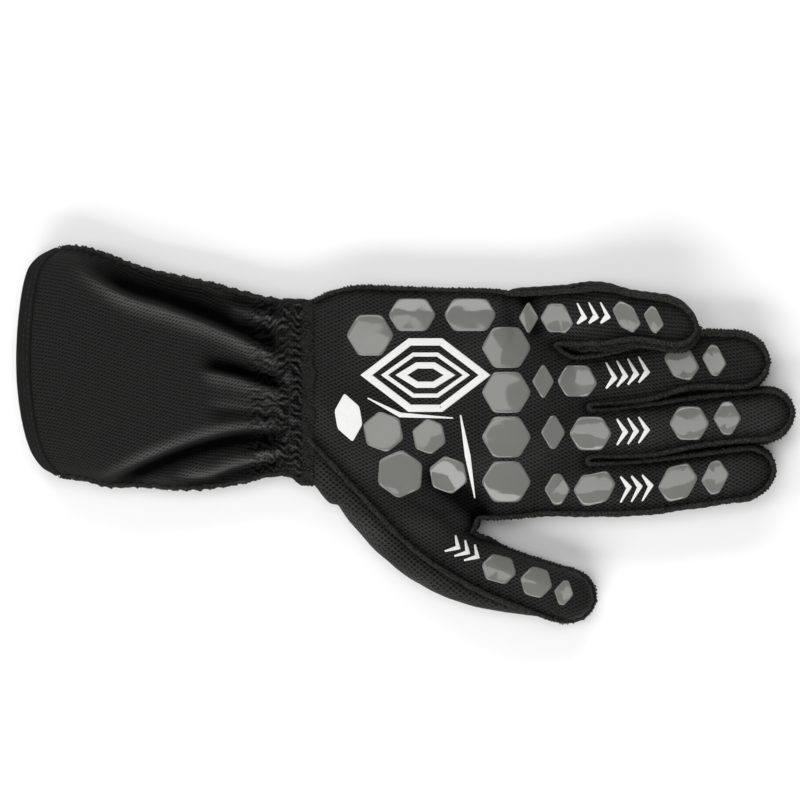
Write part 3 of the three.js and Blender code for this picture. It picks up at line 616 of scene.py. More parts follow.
# The mouth's edge sweeps back towards its ends, and turns round the corners: sweep, corner, sharpness
mouthBow = {"upper": (5.5, 7.5, 12), "lower": (8, 5, 10)}
thumbBase = {"out": 3.7, "from": (-8, -3), "to": (6, 18)}  # stands out from the wrist


def bowShape(end, across):
    sweep, corner, sharpness = mouthBow[end]
    return sweep * across**2 + corner * np.abs(across) ** sharpness


def domeOver(across):
    # how high a section stands at a place across it, from 0 at its edges to 1
    return np.sqrt(np.maximum(0, 1 - np.abs(across) ** 2.4))


underShare = 1.12  # a section would reach this far below its edge, and lies flat on the floor instead


def bodyPoints(x, turn, offset=0.0):
    # points of the cuff and hand at places x along and turn round the section
    across = np.cos(turn)
    dome = domeOver(across)
    centre, half, top = (throughTable(bodyPlaces, v, x) for v in (bodyCentres, bodyHalves, bodyTops))
    webShare = np.clip((x / size["palmLength"] - 0.6) / 0.35, 0, 1)
    mouth = smooth((-x / size["cuffLength"] - 0.55) / 0.45)
    edge = size["edge"] - (size["edge"] - size["fingerEdge"]) * webShare
    under = smooth(1.35 - np.abs(x + 8) / 18) * size["wristClear"]
    y = centre + across * (half + offset)
    (rise, full), (falling, gone) = thumbBase["from"], thumbBase["to"]
    heelRun = smooth((x - rise) / (full - rise)) * smooth((gone - x) / (gone - falling))
    y = y - thumbBase["out"] * heelRun * smooth((-across - 0.4) / 0.6)
    px = x + mouth * np.where(across > 0, bowShape("upper", across), bowShape("lower", across))
    creased = foldLift(px, y) + creaseShape(px, y)[0]
    upper = edge + (top - edge + offset) * dome + creased * np.minimum(1, 2 * dome)
    lower = np.maximum(np.maximum(edge - (underShare * edge + offset) * dome, under - offset), 0)
    z = np.where(np.sin(turn) >= 0, upper, lower)
    px = px - webShare * size["webSetback"] * smooth((y / size["palmWidth"] - 0.12) / 0.16)
    return np.stack([px, y, z], -1)


def spreading(finger, x):
    return finger["splay"] * np.maximum(0, x - finger["hinge"])


def fingerLine(finger, x):
    # the finger's middle line and width at a place along it, in the spread hand
    rows = finger["rows"]
    places = [r[0] for r in rows] + [finger["tip"]]
    across = throughTable(places, [r[1] for r in rows] + [finger["tipAcross"]], x)
    width = throughTable(places, [r[2] for r in rows] + [rows[-1][2]], x)
    return across + spreading(finger, x), width


def fingerMiddle(finger, x):
    return float(fingerLine(finger, np.array(x, float))[0])


def tipSize(before):
    left = np.clip(1 - before / size["tipRounding"], 0, 1)
    return np.sqrt(1 - left**2.3)


def fingerPoints(finger, x, turn):
    across = np.cos(turn)
    dome = domeOver(across)
    middle, width = fingerLine(finger, x)
    share = tipSize(finger["tip"] - x)
    half = np.maximum(width / 2 * share, size["leastHalf"])
    edge = size["fingerEdge"]
    top = edge + (size["fingerDepth"] * finger["depth"] - edge) * lerp(0.5, 1, share)
    lower = np.maximum(edge - underShare * edge * dome * lerp(0.6, 1, share), 0)
    z = np.where(np.sin(turn) >= 0, edge + (top - edge) * dome, lower)
    return np.stack([x + 0 * turn, middle + across * half, z], -1)


def thumbLine(t):
    # the thumb's middle line, half width, depth and seam place at shares t from root to tip
    places = np.array([(r[0], r[1]) for r in thumbRows] + [thumbTip])
    runs = runsAlong(places)
    s = t * runs[-1]
    along, across = (throughTable(runs, places[:, k], s) for k in (0, 1))
    ends = {2: thumbRows[-1][2], 3: thumbRows[-1][3], 4: 1.0}
    half, depth, seam = (throughTable(runs, [r[k] for r in thumbRows] + [end], s) for k, end in ends.items())
    share = tipSize(runs[-1] - s)
    heading = unit(np.stack([np.gradient(along, axis=0), np.gradient(across, axis=0)], -1))
    return along, across, half * share, depth * lerp(0.6, 1, share), seam, heading


def thumbPoints(t, turn):
    along, across, half, depth, _, heading = thumbLine(t[:, 0])
    side = np.cos(turn)
    dome = domeOver(side)
    edge = size["fingerEdge"]
    half = np.maximum(half, size["leastHalf"])[:, None]
    top = np.maximum(size["thumbDepth"] * depth, edge + 3)[:, None]
    lower = np.maximum(edge - underShare * edge * dome, 0)
    z = np.where(np.sin(turn) >= 0, edge + (top - edge) * dome, lower)
    x = along[:, None] - heading[:, 1][:, None] * side * half
    y = across[:, None] + heading[:, 0][:, None] * side * half
    return np.stack([x, y, z], -1)


web = {"middle": (61.5, -49.0, 8.6), "reach": (10.5, 8.5, 7.2)}  # the cloth between thumb and hand


def webPoints(rise, turn):
    (x, y, z), (reachX, reachY, reachZ) = web["middle"], web["reach"]
    return np.stack([
        x + reachX * np.sin(rise),
        y + reachY * np.cos(rise) * np.cos(turn),
        z + reachZ * np.cos(rise) * np.sin(turn),
    ], -1)


# The hand's outer skin, made with the fingers spread
skin = {"voxel": 0.9, "sides": 96, "smoothing": 5}
turns = np.linspace(0, 2 * math.pi, skin["sides"], endpoint=False)[None, :]


def loft(name, pointsFor, run):
    # a closed form through the sections that pointsFor gives at places along its run
    grid = pointsFor(run[:, None] + 0 * turns, turns + 0 * run[:, None])
    return makeMesh(name, grid.reshape(-1, 3), loftFaces(*grid.shape[:2]))


parts = [loft("bodyLoft", bodyPoints, np.linspace(-6, 0.955 * size["palmLength"], 160))]
for finger in fingers:
    first, tip = finger["rows"][0][0], finger["tip"]
    tipRun = tip - size["tipRounding"] * (1 - np.linspace(0, 1, 24)[1:]) ** 1.6
    run = np.concatenate([np.linspace(first, tip - size["tipRounding"], 60), tipRun])
    parts.append(loft(finger["name"] + "Loft", lambda x, turn: fingerPoints(finger, x, turn), run))
parts.append(loft("thumbLoft", thumbPoints, 1 - (1 - np.linspace(0, 1, 110)) ** 1.25))
parts.append(loft("webLoft", webPoints, np.linspace(-math.pi / 2 + 0.05, math.pi / 2 - 0.05, 24)))
rough = joinPieces("roughHand", parts)
remesh = rough.modifiers.new("join", "REMESH")
remesh.mode = "VOXEL"
remesh.voxel_size = skin["voxel"]
joined = evaluatedMesh(rough)
bpy.data.objects.remove(rough)
handPoints, handFaces = pointsOf(joined), [tuple(face.vertices) for face in joined.polygons]
edgePairs = np.empty(len(joined.edges) * 2, int)
joined.edges.foreach_get("vertices", edgePairs)
edgePairs = edgePairs.reshape(-1, 2)
linkCount = np.bincount(edgePairs.ravel(), minlength=len(handPoints)).astype(float)[:, None]


def relax(points, amount):
    total = np.stack([
        np.bincount(edgePairs[:, 0], points[edgePairs[:, 1], k], len(points))
        + np.bincount(edgePairs[:, 1], points[edgePairs[:, 0], k], len(points)) for k in range(3)], -1)
    return points + amount * (total / linkCount - points)


for _ in range(skin["smoothing"]):
    handPoints = relax(relax(handPoints, 0.6), -0.5)
print("hand skin has", len(handPoints), "points")


# Seam lines, read off the skin where it is cut at a height
def outlineAt(points, faces, height):
    above = points[:, 2] > height
    crossing = {}
    for face in faces:
        state = [above[i] for i in face]
        if all(state) or not any(state):
            continue
        cuts = [tuple(sorted((face[k - 1], face[k]))) for k in range(len(face)) if state[k] != state[k - 1]]
        for a, b in zip(cuts[::2], cuts[1::2]):
            crossing.setdefault(a, []).append(b)
            crossing.setdefault(b, []).append(a)
    loops = []
    while crossing:
        start = next(iter(crossing))
        loop, here = [start], start
        while True:
            following = [k for k in crossing.pop(here, []) if k in crossing]
            if not following:
                break
            here = following[0]
            loop.append(here)
        loops.append(loop)
    line = []
    for a, b in max(loops, key=len):
        share = (height - points[a, 2]) / (points[b, 2] - points[a, 2])
        line.append(lerp(points[a], points[b], share))
    line = np.array(line)
    area = np.sum(line[:, 0] * np.roll(line[:, 1], -1) - np.roll(line[:, 0], -1) * line[:, 1])
    return line if area > 0 else line[::-1]


def evenLine(line, step, softening=3):
    # the line with even steps, softened, its ends kept
    line = softened(np.array(line, float), softening, own=2)
    runs = runsAlong(line)
    even = np.linspace(0, runs[-1], max(2, int(round(runs[-1] / step)) + 1))
    return np.stack([np.interp(even, runs, line[:, k]) for k in range(3)], -1)


def stretch(outline, start, end):
    # the part of a closed outline from nearest one place to nearest another, anticlockwise
    first, last = (
        int(np.argmin(np.hypot(outline[:, 0] - place[0], outline[:, 1] - place[1]))) for place in (start, end)
    )
    count = (last - first) % len(outline)
    return outline[(first + np.arange(count + 1)) % len(outline)]


def dropOn(tree, x, y, fallback=12.0):
    hit = tree.ray_cast(Vector((x, y, 60)), Vector((0, 0, -1)))[0]
    return hit.z if hit else fallback


seamStep = 0.6
crotch = (0.56 * size["palmLength"], -0.545 * size["palmWidth"])
frontOutline, backOutline, thumbOutline = (
    outlineAt(handPoints, handFaces, size[seam]) for seam in ("frontSeam", "backSeam", "thumbSeam")
)
handTree = surfaceTree(handPoints, handFaces)

# the thumb's seam starts on the heel, crosses the thumb to its tip and runs back round it to the crotch
along, across, half, _, seamShare, heading = thumbLine(np.linspace(0, 1, 200))
seamPlan = np.stack([along + heading[:, 1] * half * seamShare, across - heading[:, 0] * half * seamShare], -1)
wristAcross = handRows[0][1] * size["palmWidth"]
heel = [
    (0.0, wristAcross - 0.3 * size["wristWidth"]),
    (0.11 * size["palmLength"], wristAcross - 0.5 * size["wristWidth"]),
]
seamPlan = np.concatenate([heel, seamPlan[along > 30]])
lastThumb = thumbRows[-1]
topLine = seamPlan[: int(np.argmax(seamPlan[:, 0] > lastThumb[0] + 1))]
topLine = evenLine(np.column_stack([topLine, np.zeros(len(topLine))]), 1.0, 2)
topLine[:, 2] = [dropOn(handTree, x, y) for x, y, _ in topLine]


def crotchOf(outline):
    near = outline[(np.abs(outline[:, 0] - crotch[0]) < 16) & (np.abs(outline[:, 1] - crotch[1]) < 9)]
    return near[np.argmin(near[:, 0])]


frontCrotch = crotchOf(frontOutline)
roundLine = stretch(thumbOutline, (lastThumb[0] + 2, lastThumb[1] - lastThumb[2]), crotchOf(thumbOutline))
# towards the crotch it rises to meet the palm's seam
left = np.linalg.norm(roundLine[:, :2] - frontCrotch[:2], axis=1)
roundLine[:, 2] = lerp(size["frontSeam"], roundLine[:, 2], smooth((left - 1) / 14))
roundLine = np.array([handTree.find_nearest(Vector(p))[0] for p in roundLine])

wristEnd = 2.0
nearWrist = frontOutline[np.abs(frontOutline[:, 0] - wristEnd) < 3]
seamLines = {
    "seam_front": stretch(frontOutline, frontCrotch, (wristEnd, nearWrist[:, 1].max())),
    "seam_thumb": np.concatenate([topLine, roundLine]),
}
for first, second in neighbours:
    ends = [(f["tip"], fingerMiddle(f, f["tip"])) for f in (second, first)]
    seamLines[f"seam_back_{first['name']}_{second['name']}"] = stretch(backOutline, ends[0], ends[1])
seamLines = {name: evenLine(line, seamStep, 4) for name, line in seamLines.items()}
print("seam lines", {name: len(line) for name, line in seamLines.items()})

# The cloth draws up in small puckers along every seam, and is nowhere quite even
pucker = {"pitch": 4.6, "height": 0.38, "reach": 5.0, "unevenness": 0.35}
seamTree = pointTree(np.concatenate(list(seamLines.values())))
seamRuns = np.concatenate([np.arange(len(line)) * seamStep for line in seamLines.values()])
handNormals = normalsOf(joined, handPoints)
nearest = [seamTree.find(Vector(p)) for p in handPoints]
distance = np.array([n[2] for n in nearest])
run = seamRuns[[n[1] for n in nearest]]
drawn = np.sin(2 * math.pi * run / pucker["pitch"] + 2 * noiseAlong(run, 9, 1))
lift = pucker["height"] * drawn * bell(distance / pucker["reach"]) * smooth((distance - 0.3) / 1.5)
lift += pucker["unevenness"] * noiseAt(handPoints, 11, 2)
lift += 0.5 * pucker["unevenness"] * noiseAt(handPoints * [0.6, 1.4, 1], 5, 3)
onFloor = (handPoints[:, 2] < 1.5) & (handNormals[:, 2] < -0.5)
lift = np.where(onFloor, 0.2 * lift, lift)
handPoints = handPoints + handNormals * lift[:, None]
handTree = surfaceTree(handPoints, handFaces)


def lyingPose(points):
    # each finger is drawn in, lifted and rolled from its hinge on, so that they overlap like shingles
    points = np.array(points, float)
    x, y = points[:, 0], points[:, 1]
    middles = np.stack([fingerLine(f, np.clip(x, f["hinge"], f["tip"]))[0] for f in fingers])
    owner = np.argmin(np.abs(y - middles), axis=0)
    posed = points.copy()
    for i, finger in enumerate(fingers):
        mine = (owner == i) & (x > finger["hinge"]) & (y > -60)
        share = (x - finger["hinge"]) / (finger["tip"] - finger["hinge"])
        rolling = lerp(share, smooth(share * 2.6), 0.75)
        widest = max(r[2] for r in finger["rows"]) / 2
        rolled = np.maximum(0, widest - (y - middles[i]))
        posed[:, 1] -= np.where(mine, spreading(finger, x), 0)
        posed[:, 2] += np.where(mine, share * finger["lift"] + rolling * finger["roll"] * rolled, 0)
    return posed


def toMetres(points):
    return (np.asarray(points) + toFrame) * mm


posedHand = lyingPose(handPoints)
posedHand[:, 2] = np.maximum(posedHand[:, 2], floorGap)
posedTree = surfaceTree(posedHand, handFaces)


def finished(piece, node=None, material=None):
    # gives a piece its material and body, and hides the solid that it stands for
    if material:
        piece.data.materials.clear()
        piece.data.materials.append(material)
    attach(piece, "root")
    if node:
        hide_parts(node)
    return piece


# The hand's panels: palm, back and the strips between the fingers
def insideSeam(p):
    # on the palm's side of the seam line along the thumb
    order = np.argsort(seamPlan[:, 0])
    border = np.interp(p[:, 0], seamPlan[order, 0], seamPlan[order, 1])
    return (p[:, 1] > border) | (p[:, 0] > seamPlan[:, 0].max())


def inPalm(p):
    onThumb = (p[:, 2] > size["thumbSeam"]) & (p[:, 0] > crotch[0]) & (p[:, 1] < crotch[1])
    return insideSeam(p) & ((p[:, 2] > size["frontSeam"]) | onThumb)


centres = np.array([handPoints[list(f)].mean(0) for f in handFaces])
kept = centres[:, 0] > 0.2  # the cuff's cloth takes over at the wrist
panelOf = np.where(inPalm(centres) & kept, 0, 1)
names = ["palm_panel", "back_panel"]
for first, second in neighbours:
    start = min(first["hinge"], second["hinge"]) - 5
    low, high = (fingerLine(f, np.clip(centres[:, 0], start, f["tip"]))[0] for f in (second, first))
    between = (centres[:, 0] > start) & (centres[:, 1] > low) & (centres[:, 1] < high)
    between &= (centres[:, 2] > size["backSeam"]) & (centres[:, 2] < size["frontSeam"])
    panelOf[between] = len(names)
    names.append(f"fourchette_{first['name']}_{second['name']}")
panelOf[~kept] = -1


def clothPanel(name, points, faces, maps, material, node, paintedShadingAndTone, steep=None):
    # a panel with its wall, flat maps of the cloth for the knit's pattern, and the painted light and shade,
    # with any random tone, laid on its colour
    used = sorted({i for f in faces for i in f})
    index = {old: new for new, old in enumerate(used)}
    piece = makeMesh(name, toMetres(points[used]), [[index[i] for i in f] for f in faces])
    for mapName, flat in maps.items():
        writeMap(piece.data, mapName, flat[used])
    writeValues(piece.data, "paintedShadingAndTone", paintedShadingAndTone[used])
    if steep is not None:
        writeValues(piece.data, "steep", steep[used])
    wall = piece.modifiers.new("wall", "SOLIDIFY")
    wall.thickness = size["wall"] * mm
    wall.offset = -1
    bake(piece)
    return finished(piece, node, material)


# the knit's maps: seen from above where the cloth lies flat, and from the thumb's side where it stands
handNormals = normalsOf(joined, handPoints)
steep = smooth((0.8 - np.abs(handNormals[:, 2])) / 0.35)
thumbSide = [0.85, -0.55, 0]
handMaps = {"cloth": handPoints[:, :2], "side": np.column_stack([handPoints @ thumbSide, handPoints[:, 2]])}
# painted shade: the cloth is painted darker in the folds and beside the seams, and a tone that differs at
# random is added
paintedFoldShading = np.clip(0.4 * foldLift(handPoints[:, 0], handPoints[:, 1]), -0.8, 0)
handPaintedShadingAndTone = paintedFoldShading * (handPoints[:, 2] > size["edge"])
handPaintedShadingAndTone -= 0.5 * bell((distance - 1.5) / 2.2)
handPaintedShadingAndTone += 0.25 * noiseAt(handPoints * [0.5, 1, 1], 16, 12)
for i, name in enumerate(names):
    faces = [f for f, panel in zip(handFaces, panelOf) if panel == i]
    material = palmKnit if i == 0 else backKnit
    clothPanel(name.replace("_", ""), posedHand, faces, handMaps, material, name, handPaintedShadingAndTone, steep)
print("hand panels are cut")

# The cuff: a flared tube, drawn in by elastic rows before the wrist
gather = {
    "rows": 3, "start": -2.0, "rowLength": 5.6, "pitch": 3.6, "height": 1.35, "slant": 0.5, "jitter": 0.85,
}
hem = {"width": 5.2, "thickening": 0.5, "edge": 1.2}
cuffSteps = {"along": 185, "round": 200, "join": 0.056}


def gatherLift(x, round_):
    # slanted puckers in rows, each row leaning the other way, dying out into the cuff
    place = (gather["start"] - x + 2.2 * noiseOver(x * 0, round_, 6.0, 10)) / gather["rowLength"]
    row = np.floor(place)
    within = place - row
    slant = gather["slant"] * np.where(row % 2 == 0, within - 0.5, 0.5 - within)
    lean = slant * (1.2 + 1.6 * noiseOver(x, round_, 15.0, 9))
    jitter = gather["jitter"] * noiseOver(x * 2.2, round_ + 31 * row, 6.0, 4)
    ridge = np.cos(2 * math.pi * (round_ / gather["pitch"] + lean + jitter))
    ridge = np.sign(ridge) * np.abs(ridge) ** 0.75
    past = place > gather["rows"]
    rowSwell = np.where(past, 0.7, 0.35 + 0.65 * np.sin(math.pi * np.clip(within, 0, 1)))
    fade = np.where(past, bell((place - gather["rows"]) / 1.1), 1)
    zone = smooth((-x - 1.5) / 2.0)
    return gather["height"] * (0.8 + 0.4 * noiseOver(x, round_, 12.0, 5)) * ridge * rowSwell * zone * fade


def roundRun(grid):
    # distance round each section from its middle
    step = np.linalg.norm(np.diff(grid, axis=1), axis=-1)
    run = np.concatenate([np.zeros((len(grid), 1)), np.cumsum(step, axis=1)], axis=1)
    return run - run[:, run.shape[1] // 2][:, None]


def cuffGrid(xs, ts, offset=0.0):
    # the cuff's cloth over a grid of places along and turns round, puckered and uneven
    x, turn = np.meshgrid(xs, ts, indexing="ij")
    if np.ndim(offset) == 1:
        offset = np.asarray(offset)[:, None] + 0 * turn
    grid = bodyPoints(x, turn)
    aroundStep = bodyPoints(x, turn + 0.01) - bodyPoints(x, turn - 0.01)
    alongStep = bodyPoints(x + 0.4, turn) - bodyPoints(x - 0.4, turn)
    normals = unit(np.cross(aroundStep, alongStep))
    around = roundRun(grid)
    edge = np.abs(np.cos(turn))
    flatPoints = grid.reshape(-1, 3)
    lift = gatherLift(x, around) * smooth((1 - edge) / 0.03)
    lift += 0.45 * noiseAt(flatPoints * [0.5, 1, 1], 9.0, 6).reshape(x.shape)
    lift += 0.2 * noiseAt(flatPoints, 4.0, 7).reshape(x.shape)
    seamWaves = np.sin(2 * math.pi * x / 5.2 + 2.5 * noiseOver(x, around * 0, 14.0, 8))
    lift += 0.4 * seamWaves * smooth((edge - 0.93) / 0.07)
    lift = np.where((np.sin(turn) < 0) & (grid[..., 2] < 0.5), 0.0, lift)
    return grid + normals * (lift + offset)[..., None], around


hemInside = -size["cuffLength"] + hem["width"]
join = cuffSteps["join"]
cuffXs = np.linspace(hemInside + 0.2, -0.2, cuffSteps["along"])
frontTurns = np.linspace(join, math.pi - join, cuffSteps["round"])
backTurns = np.linspace(math.pi - join, 2 * math.pi + join, cuffSteps["round"])
for name, node, ts in (("cuffFront", "cuff_front", frontTurns), ("cuffBack", "cuff_back", backTurns)):
    grid, around = cuffGrid(cuffXs, ts)
    grid[..., 2] = np.maximum(grid[..., 2], floorGap)
    places = np.meshgrid(cuffXs, ts, indexing="ij")[0]
    paintedShadingAndTone = np.zeros(places.shape)
    # painted light and shade on the cuff's front: paler on the crests and pucker tops, darker in the troughs
    if node == "cuff_front":
        paintedShadingAndTone = creaseShape(grid[..., 0], grid[..., 1])[1] + 0.4 * gatherLift(places, around)
    maps = {"cloth": np.column_stack([places.ravel(), around.ravel()])}
    clothPanel(name, grid.reshape(-1, 3), gridFaces(*places.shape), maps, cuffKnit, node, paintedShadingAndTone.ravel())
print("cuff is made")

# The hem: the mouth's edge turned in and stitched down, a little thicker than the cloth
hemOuter = [
    (hemInside - share * (hem["width"] - hem["edge"]), hem["thickening"]) for share in np.linspace(0, 1, 10)
]
hemHalf = size["wall"] / 2 + hem["thickening"]
hemFold = [
    (hemOuter[-1][0] - hem["edge"] * math.sin(angle), hemHalf * math.cos(angle) - size["wall"] / 2)
    for angle in np.linspace(0, math.pi, 9)[1:-1]
]
hemInner = [(x, -size["wall"] - hem["thickening"]) for x, _ in reversed(hemOuter)]
hemProfile = [
    (hemInside + 1.0, 0.2), *hemOuter, *hemFold, *hemInner, (hemInside + 1.0, -size["wall"] - 0.2),
]
hemXs, hemOffsets = np.array(hemProfile).T
hemGrid = cuffGrid(hemXs, np.linspace(0, 2 * math.pi, 361)[:-1], hemOffsets)[0]
hemGrid[..., 2] = np.maximum(hemGrid[..., 2], floorGap)
hemFaces = gridFaces(*hemGrid.shape[:2], closedRows=True, closedColumns=True)
hemPiece = makeMesh("cuffHem", toMetres(hemGrid.reshape(-1, 3)), hemFaces)
writeMap(hemPiece.data, "cloth", hemGrid.reshape(-1, 3)[:, :2])
finished(hemPiece, "cuff_hem", hemKnit)


# Thread work: a tree that winds overlock loops round a path, and one that lays top stitches along it
def threadTree(name, rows):
    # the tree's named inputs, its path in even steps, and each step's turn along it and outwards
    tree = bpy.data.node_groups.new(name, "GeometryNodeTree")
    sockets = {}
    for socket, kind in [("Geometry", "Geometry"), *rows, ("Material", "Material")]:
        kind = "NodeSocket" + kind
        sockets[socket] = tree.interface.new_socket(name=socket, in_out="INPUT", socket_type=kind)
    tree.interface.new_socket(name="Geometry", in_out="OUTPUT", socket_type="NodeSocketGeometry")
    given = addNode(tree, "NodeGroupInput").outputs
    path = addNode(tree, "GeometryNodeMeshToCurve", {"Mesh": given["Geometry"]})
    spacing = {"Curve": path.outputs[0], "Length": given["Pitch"]}
    spaced = addNode(tree, "GeometryNodeResampleCurve", spacing, mode="LENGTH")
    outward = addNode(tree, "GeometryNodeInputNamedAttribute", {"Name": "outward"}, data_type="FLOAT_VECTOR")
    tangent = addNode(tree, "GeometryNodeInputTangent")
    upwards = {"Vector": outward.outputs["Attribute"]}
    up = addNode(tree, "FunctionNodeAlignRotationToVector", upwards, axis="Z")
    onwards = {"Rotation": up.outputs[0], "Vector": tangent.outputs[0]}
    along = addNode(tree, "FunctionNodeAlignRotationToVector", onwards, axis="X", pivot_axis="Z")
    return tree, sockets, given, spaced.outputs[0], along.outputs[0]


def closeTree(tree, given, points, instance, aligned, lean, scale):
    # each step's thread, turned by its lean, as real geometry
    turning = {"Axis": (0, 0, 1), "Angle": lean}
    angle = addNode(tree, "FunctionNodeAxisAngleToRotation", turning)
    leaning = {"Rotation": aligned, "Rotate By": angle.outputs[0]}
    turned = addNode(tree, "FunctionNodeRotateRotation", leaning, rotation_space="LOCAL")
    placing = {"Points": points, "Instance": instance, "Rotation": turned.outputs[0], "Scale": scale}
    placed = addNode(tree, "GeometryNodeInstanceOnPoints", placing)
    real = addNode(tree, "GeometryNodeRealizeInstances", {"Geometry": placed.outputs[0]})
    painting = {"Geometry": real.outputs[0], "Material": given["Material"]}
    painted = addNode(tree, "GeometryNodeSetMaterial", painting)
    addNode(tree, "NodeGroupOutput", {"Geometry": painted.outputs[0]})


def overlockTree():
    tree, sockets, given, points, aligned = threadTree("overlockLoops", [
        ("Pitch", "Float"), ("Loop Radius", "Float"), ("Thread Radius", "Float"), ("Lean", "Float"),
        ("Unevenness", "Float"), ("Seed", "Int"),
    ])
    circles = {"Resolution": 11, "Radius": given["Loop Radius"]}
    loop = addNode(tree, "GeometryNodeCurvePrimitiveCircle", circles)
    profiles = {"Resolution": 4, "Radius": given["Thread Radius"]}
    profile = addNode(tree, "GeometryNodeCurvePrimitiveCircle", profiles)
    winding = {"Curve": loop.outputs[0], "Profile Curve": profile.outputs[0]}
    threadLoop = addNode(tree, "GeometryNodeCurveToMesh", winding)
    # the circle lies flat, so it is stood across the path first
    standing = {"Geometry": threadLoop.outputs[0], "Rotation": (0, math.pi / 2, 0)}
    stood = addNode(tree, "GeometryNodeTransform", standing)
    low = addNode(tree, "ShaderNodeMath", {0: given["Unevenness"], 1: -1.0}, operation="MULTIPLY")
    jitters = {"Min": low.outputs[0], "Max": given["Unevenness"], "Seed": given["Seed"]}
    jitter = addNode(tree, "FunctionNodeRandomValue", jitters, data_type="FLOAT")
    lean = addNode(tree, "ShaderNodeMath", {0: given["Lean"], 1: jitter.outputs["Value"]}, operation="ADD")
    swells = {"Min": (0.9, 0.8, 0.8), "Max": (1.1, 1.22, 1.22), "Seed": given["Seed"]}
    swell = addNode(tree, "FunctionNodeRandomValue", swells, data_type="FLOAT_VECTOR")
    reach = addNode(tree, "GeometryNodeInputNamedAttribute", {"Name": "reach"}, data_type="FLOAT")
    scaling = {0: swell.outputs["Value"], "Scale": reach.outputs["Attribute"]}
    scaled = addNode(tree, "ShaderNodeVectorMath", scaling, operation="SCALE")
    closeTree(tree, given, points, stood.outputs[0], aligned, lean.outputs[0], scaled.outputs[0])
    return tree, sockets


def topStitchTree():
    tree, sockets, given, points, aligned = threadTree("topStitches", [
        ("Pitch", "Float"), ("Length", "Float"), ("Thread Radius", "Float"), ("Lean", "Float"),
        ("Seed", "Int"),
    ])
    # a stitch is a low arch of thread, sunk at both ends
    shares = (("Length", -0.5), ("Length", 0.5), ("Thread Radius", -1.2), ("Thread Radius", 1.6))
    back, front, sink, rise = (
        addNode(tree, "ShaderNodeMath", {0: given[socket], 1: share}, operation="MULTIPLY").outputs[0]
        for socket, share in shares
    )
    start = addNode(tree, "ShaderNodeCombineXYZ", {"X": back, "Z": sink}).outputs[0]
    end = addNode(tree, "ShaderNodeCombineXYZ", {"X": front, "Z": sink}).outputs[0]
    top = addNode(tree, "ShaderNodeCombineXYZ", {"Z": rise}).outputs[0]
    arching = {"Resolution": 5, "Start": start, "Middle": top, "End": end}
    arch = addNode(tree, "GeometryNodeCurveQuadraticBezier", arching)
    profiles = {"Resolution": 5, "Radius": given["Thread Radius"]}
    profile = addNode(tree, "GeometryNodeCurvePrimitiveCircle", profiles)
    filling = {"Curve": arch.outputs[0], "Profile Curve": profile.outputs[0], "Fill Caps": True}
    stitch = addNode(tree, "GeometryNodeCurveToMesh", filling)
    # every second stitch leans the other way
    index = addNode(tree, "GeometryNodeInputIndex")
    odd = addNode(tree, "ShaderNodeMath", {0: index.outputs[0], 1: 2.0}, operation="MODULO")
    sign = addNode(tree, "ShaderNodeMath", {0: odd.outputs[0], 1: 2.0, 2: -1.0}, operation="MULTIPLY_ADD")
    lean = addNode(tree, "ShaderNodeMath", {0: sign.outputs[0], 1: given["Lean"]}, operation="MULTIPLY")
    jitters = {"Min": -0.12, "Max": 0.12, "Seed": given["Seed"]}
    jitter = addNode(tree, "FunctionNodeRandomValue", jitters, data_type="FLOAT")
    total = addNode(tree, "ShaderNodeMath", {0: lean.outputs[0], 1: jitter.outputs["Value"]}, operation="ADD")
    closeTree(tree, given, points, stitch.outputs[0], aligned, total.outputs[0], (1, 1, 1))
    return tree, sockets


overlock = overlockTree()
topStitch = topStitchTree()


def sew(name, line, outward, kind, values, closed=False, reach=1.0):
    # runs a thread tree over a path and returns plain mesh
    tree, sockets = kind
    mesh = bpy.data.meshes.new(name)
    count = len(line)
    edges = [(i, i + 1) for i in range(count - 1)] + ([(count - 1, 0)] if closed else [])
    mesh.from_pydata(toMetres(line).tolist(), edges, [])
    attribute = mesh.attributes.new("outward", "FLOAT_VECTOR", "POINT")
    attribute.data.foreach_set("vector", np.asarray(outward, np.float32).ravel())
    writeValues(mesh, "reach", reach + np.zeros(count))
    piece = bpy.data.objects.new(name, mesh)
    scene.collection.objects.link(piece)
    modifier = piece.modifiers.new("thread", "NODES")
    modifier.node_group = tree
    for socket, value in {**values, "Material": thread}.items():
        modifier[sockets[socket].identifier] = value
    bake(piece)
    piece.data.shade_smooth()
    return piece


def seamRope(name, line, outward, radius, seed, sides=10):
    # the rolled cloth edges inside the overlocking: a lumpy rope along the seam
    tangent = unit(np.gradient(line, axis=0))
    side = unit(np.cross(tangent, outward))
    up = np.cross(side, tangent)
    run = np.arange(len(line)) * seamStep
    swell = 1 + 0.13 * noiseAlong(run, 1.3, seed) + 0.12 * noiseAlong(run, 5, seed + 1)
    rings = []
    for k in range(sides):
        a = 2 * math.pi * k / sides
        lump = swell * (1 + 0.12 * noiseAlong(run, 1.5, seed + 2, beside=3 * k))
        rings.append(line + (radius * lump)[:, None] * (math.cos(a) * side + math.sin(a) * up))
    grid = np.stack(rings, 1)
    rope = makeMesh(name, toMetres(grid.reshape(-1, 3)), tubeFaces(len(line), sides))
    rope.data.materials.append(thread)
    return rope


# the real loops are finer: they are drawn as coarse as they need to be to show
seamWork = {
    "radius": 1.05, "standing": 0.5, "sinking": 0.6, "loopPitch": 1.4, "loopRadius": 1.2,
    "threadRadius": 0.26, "lean": 0.6, "unevenness": 0.3,
}
cuffSeamWork = {**seamWork, "lean": 0.85, "unevenness": 0.25}
pressing = {"share": 0.6, "within": 6.0, "apart": 14}


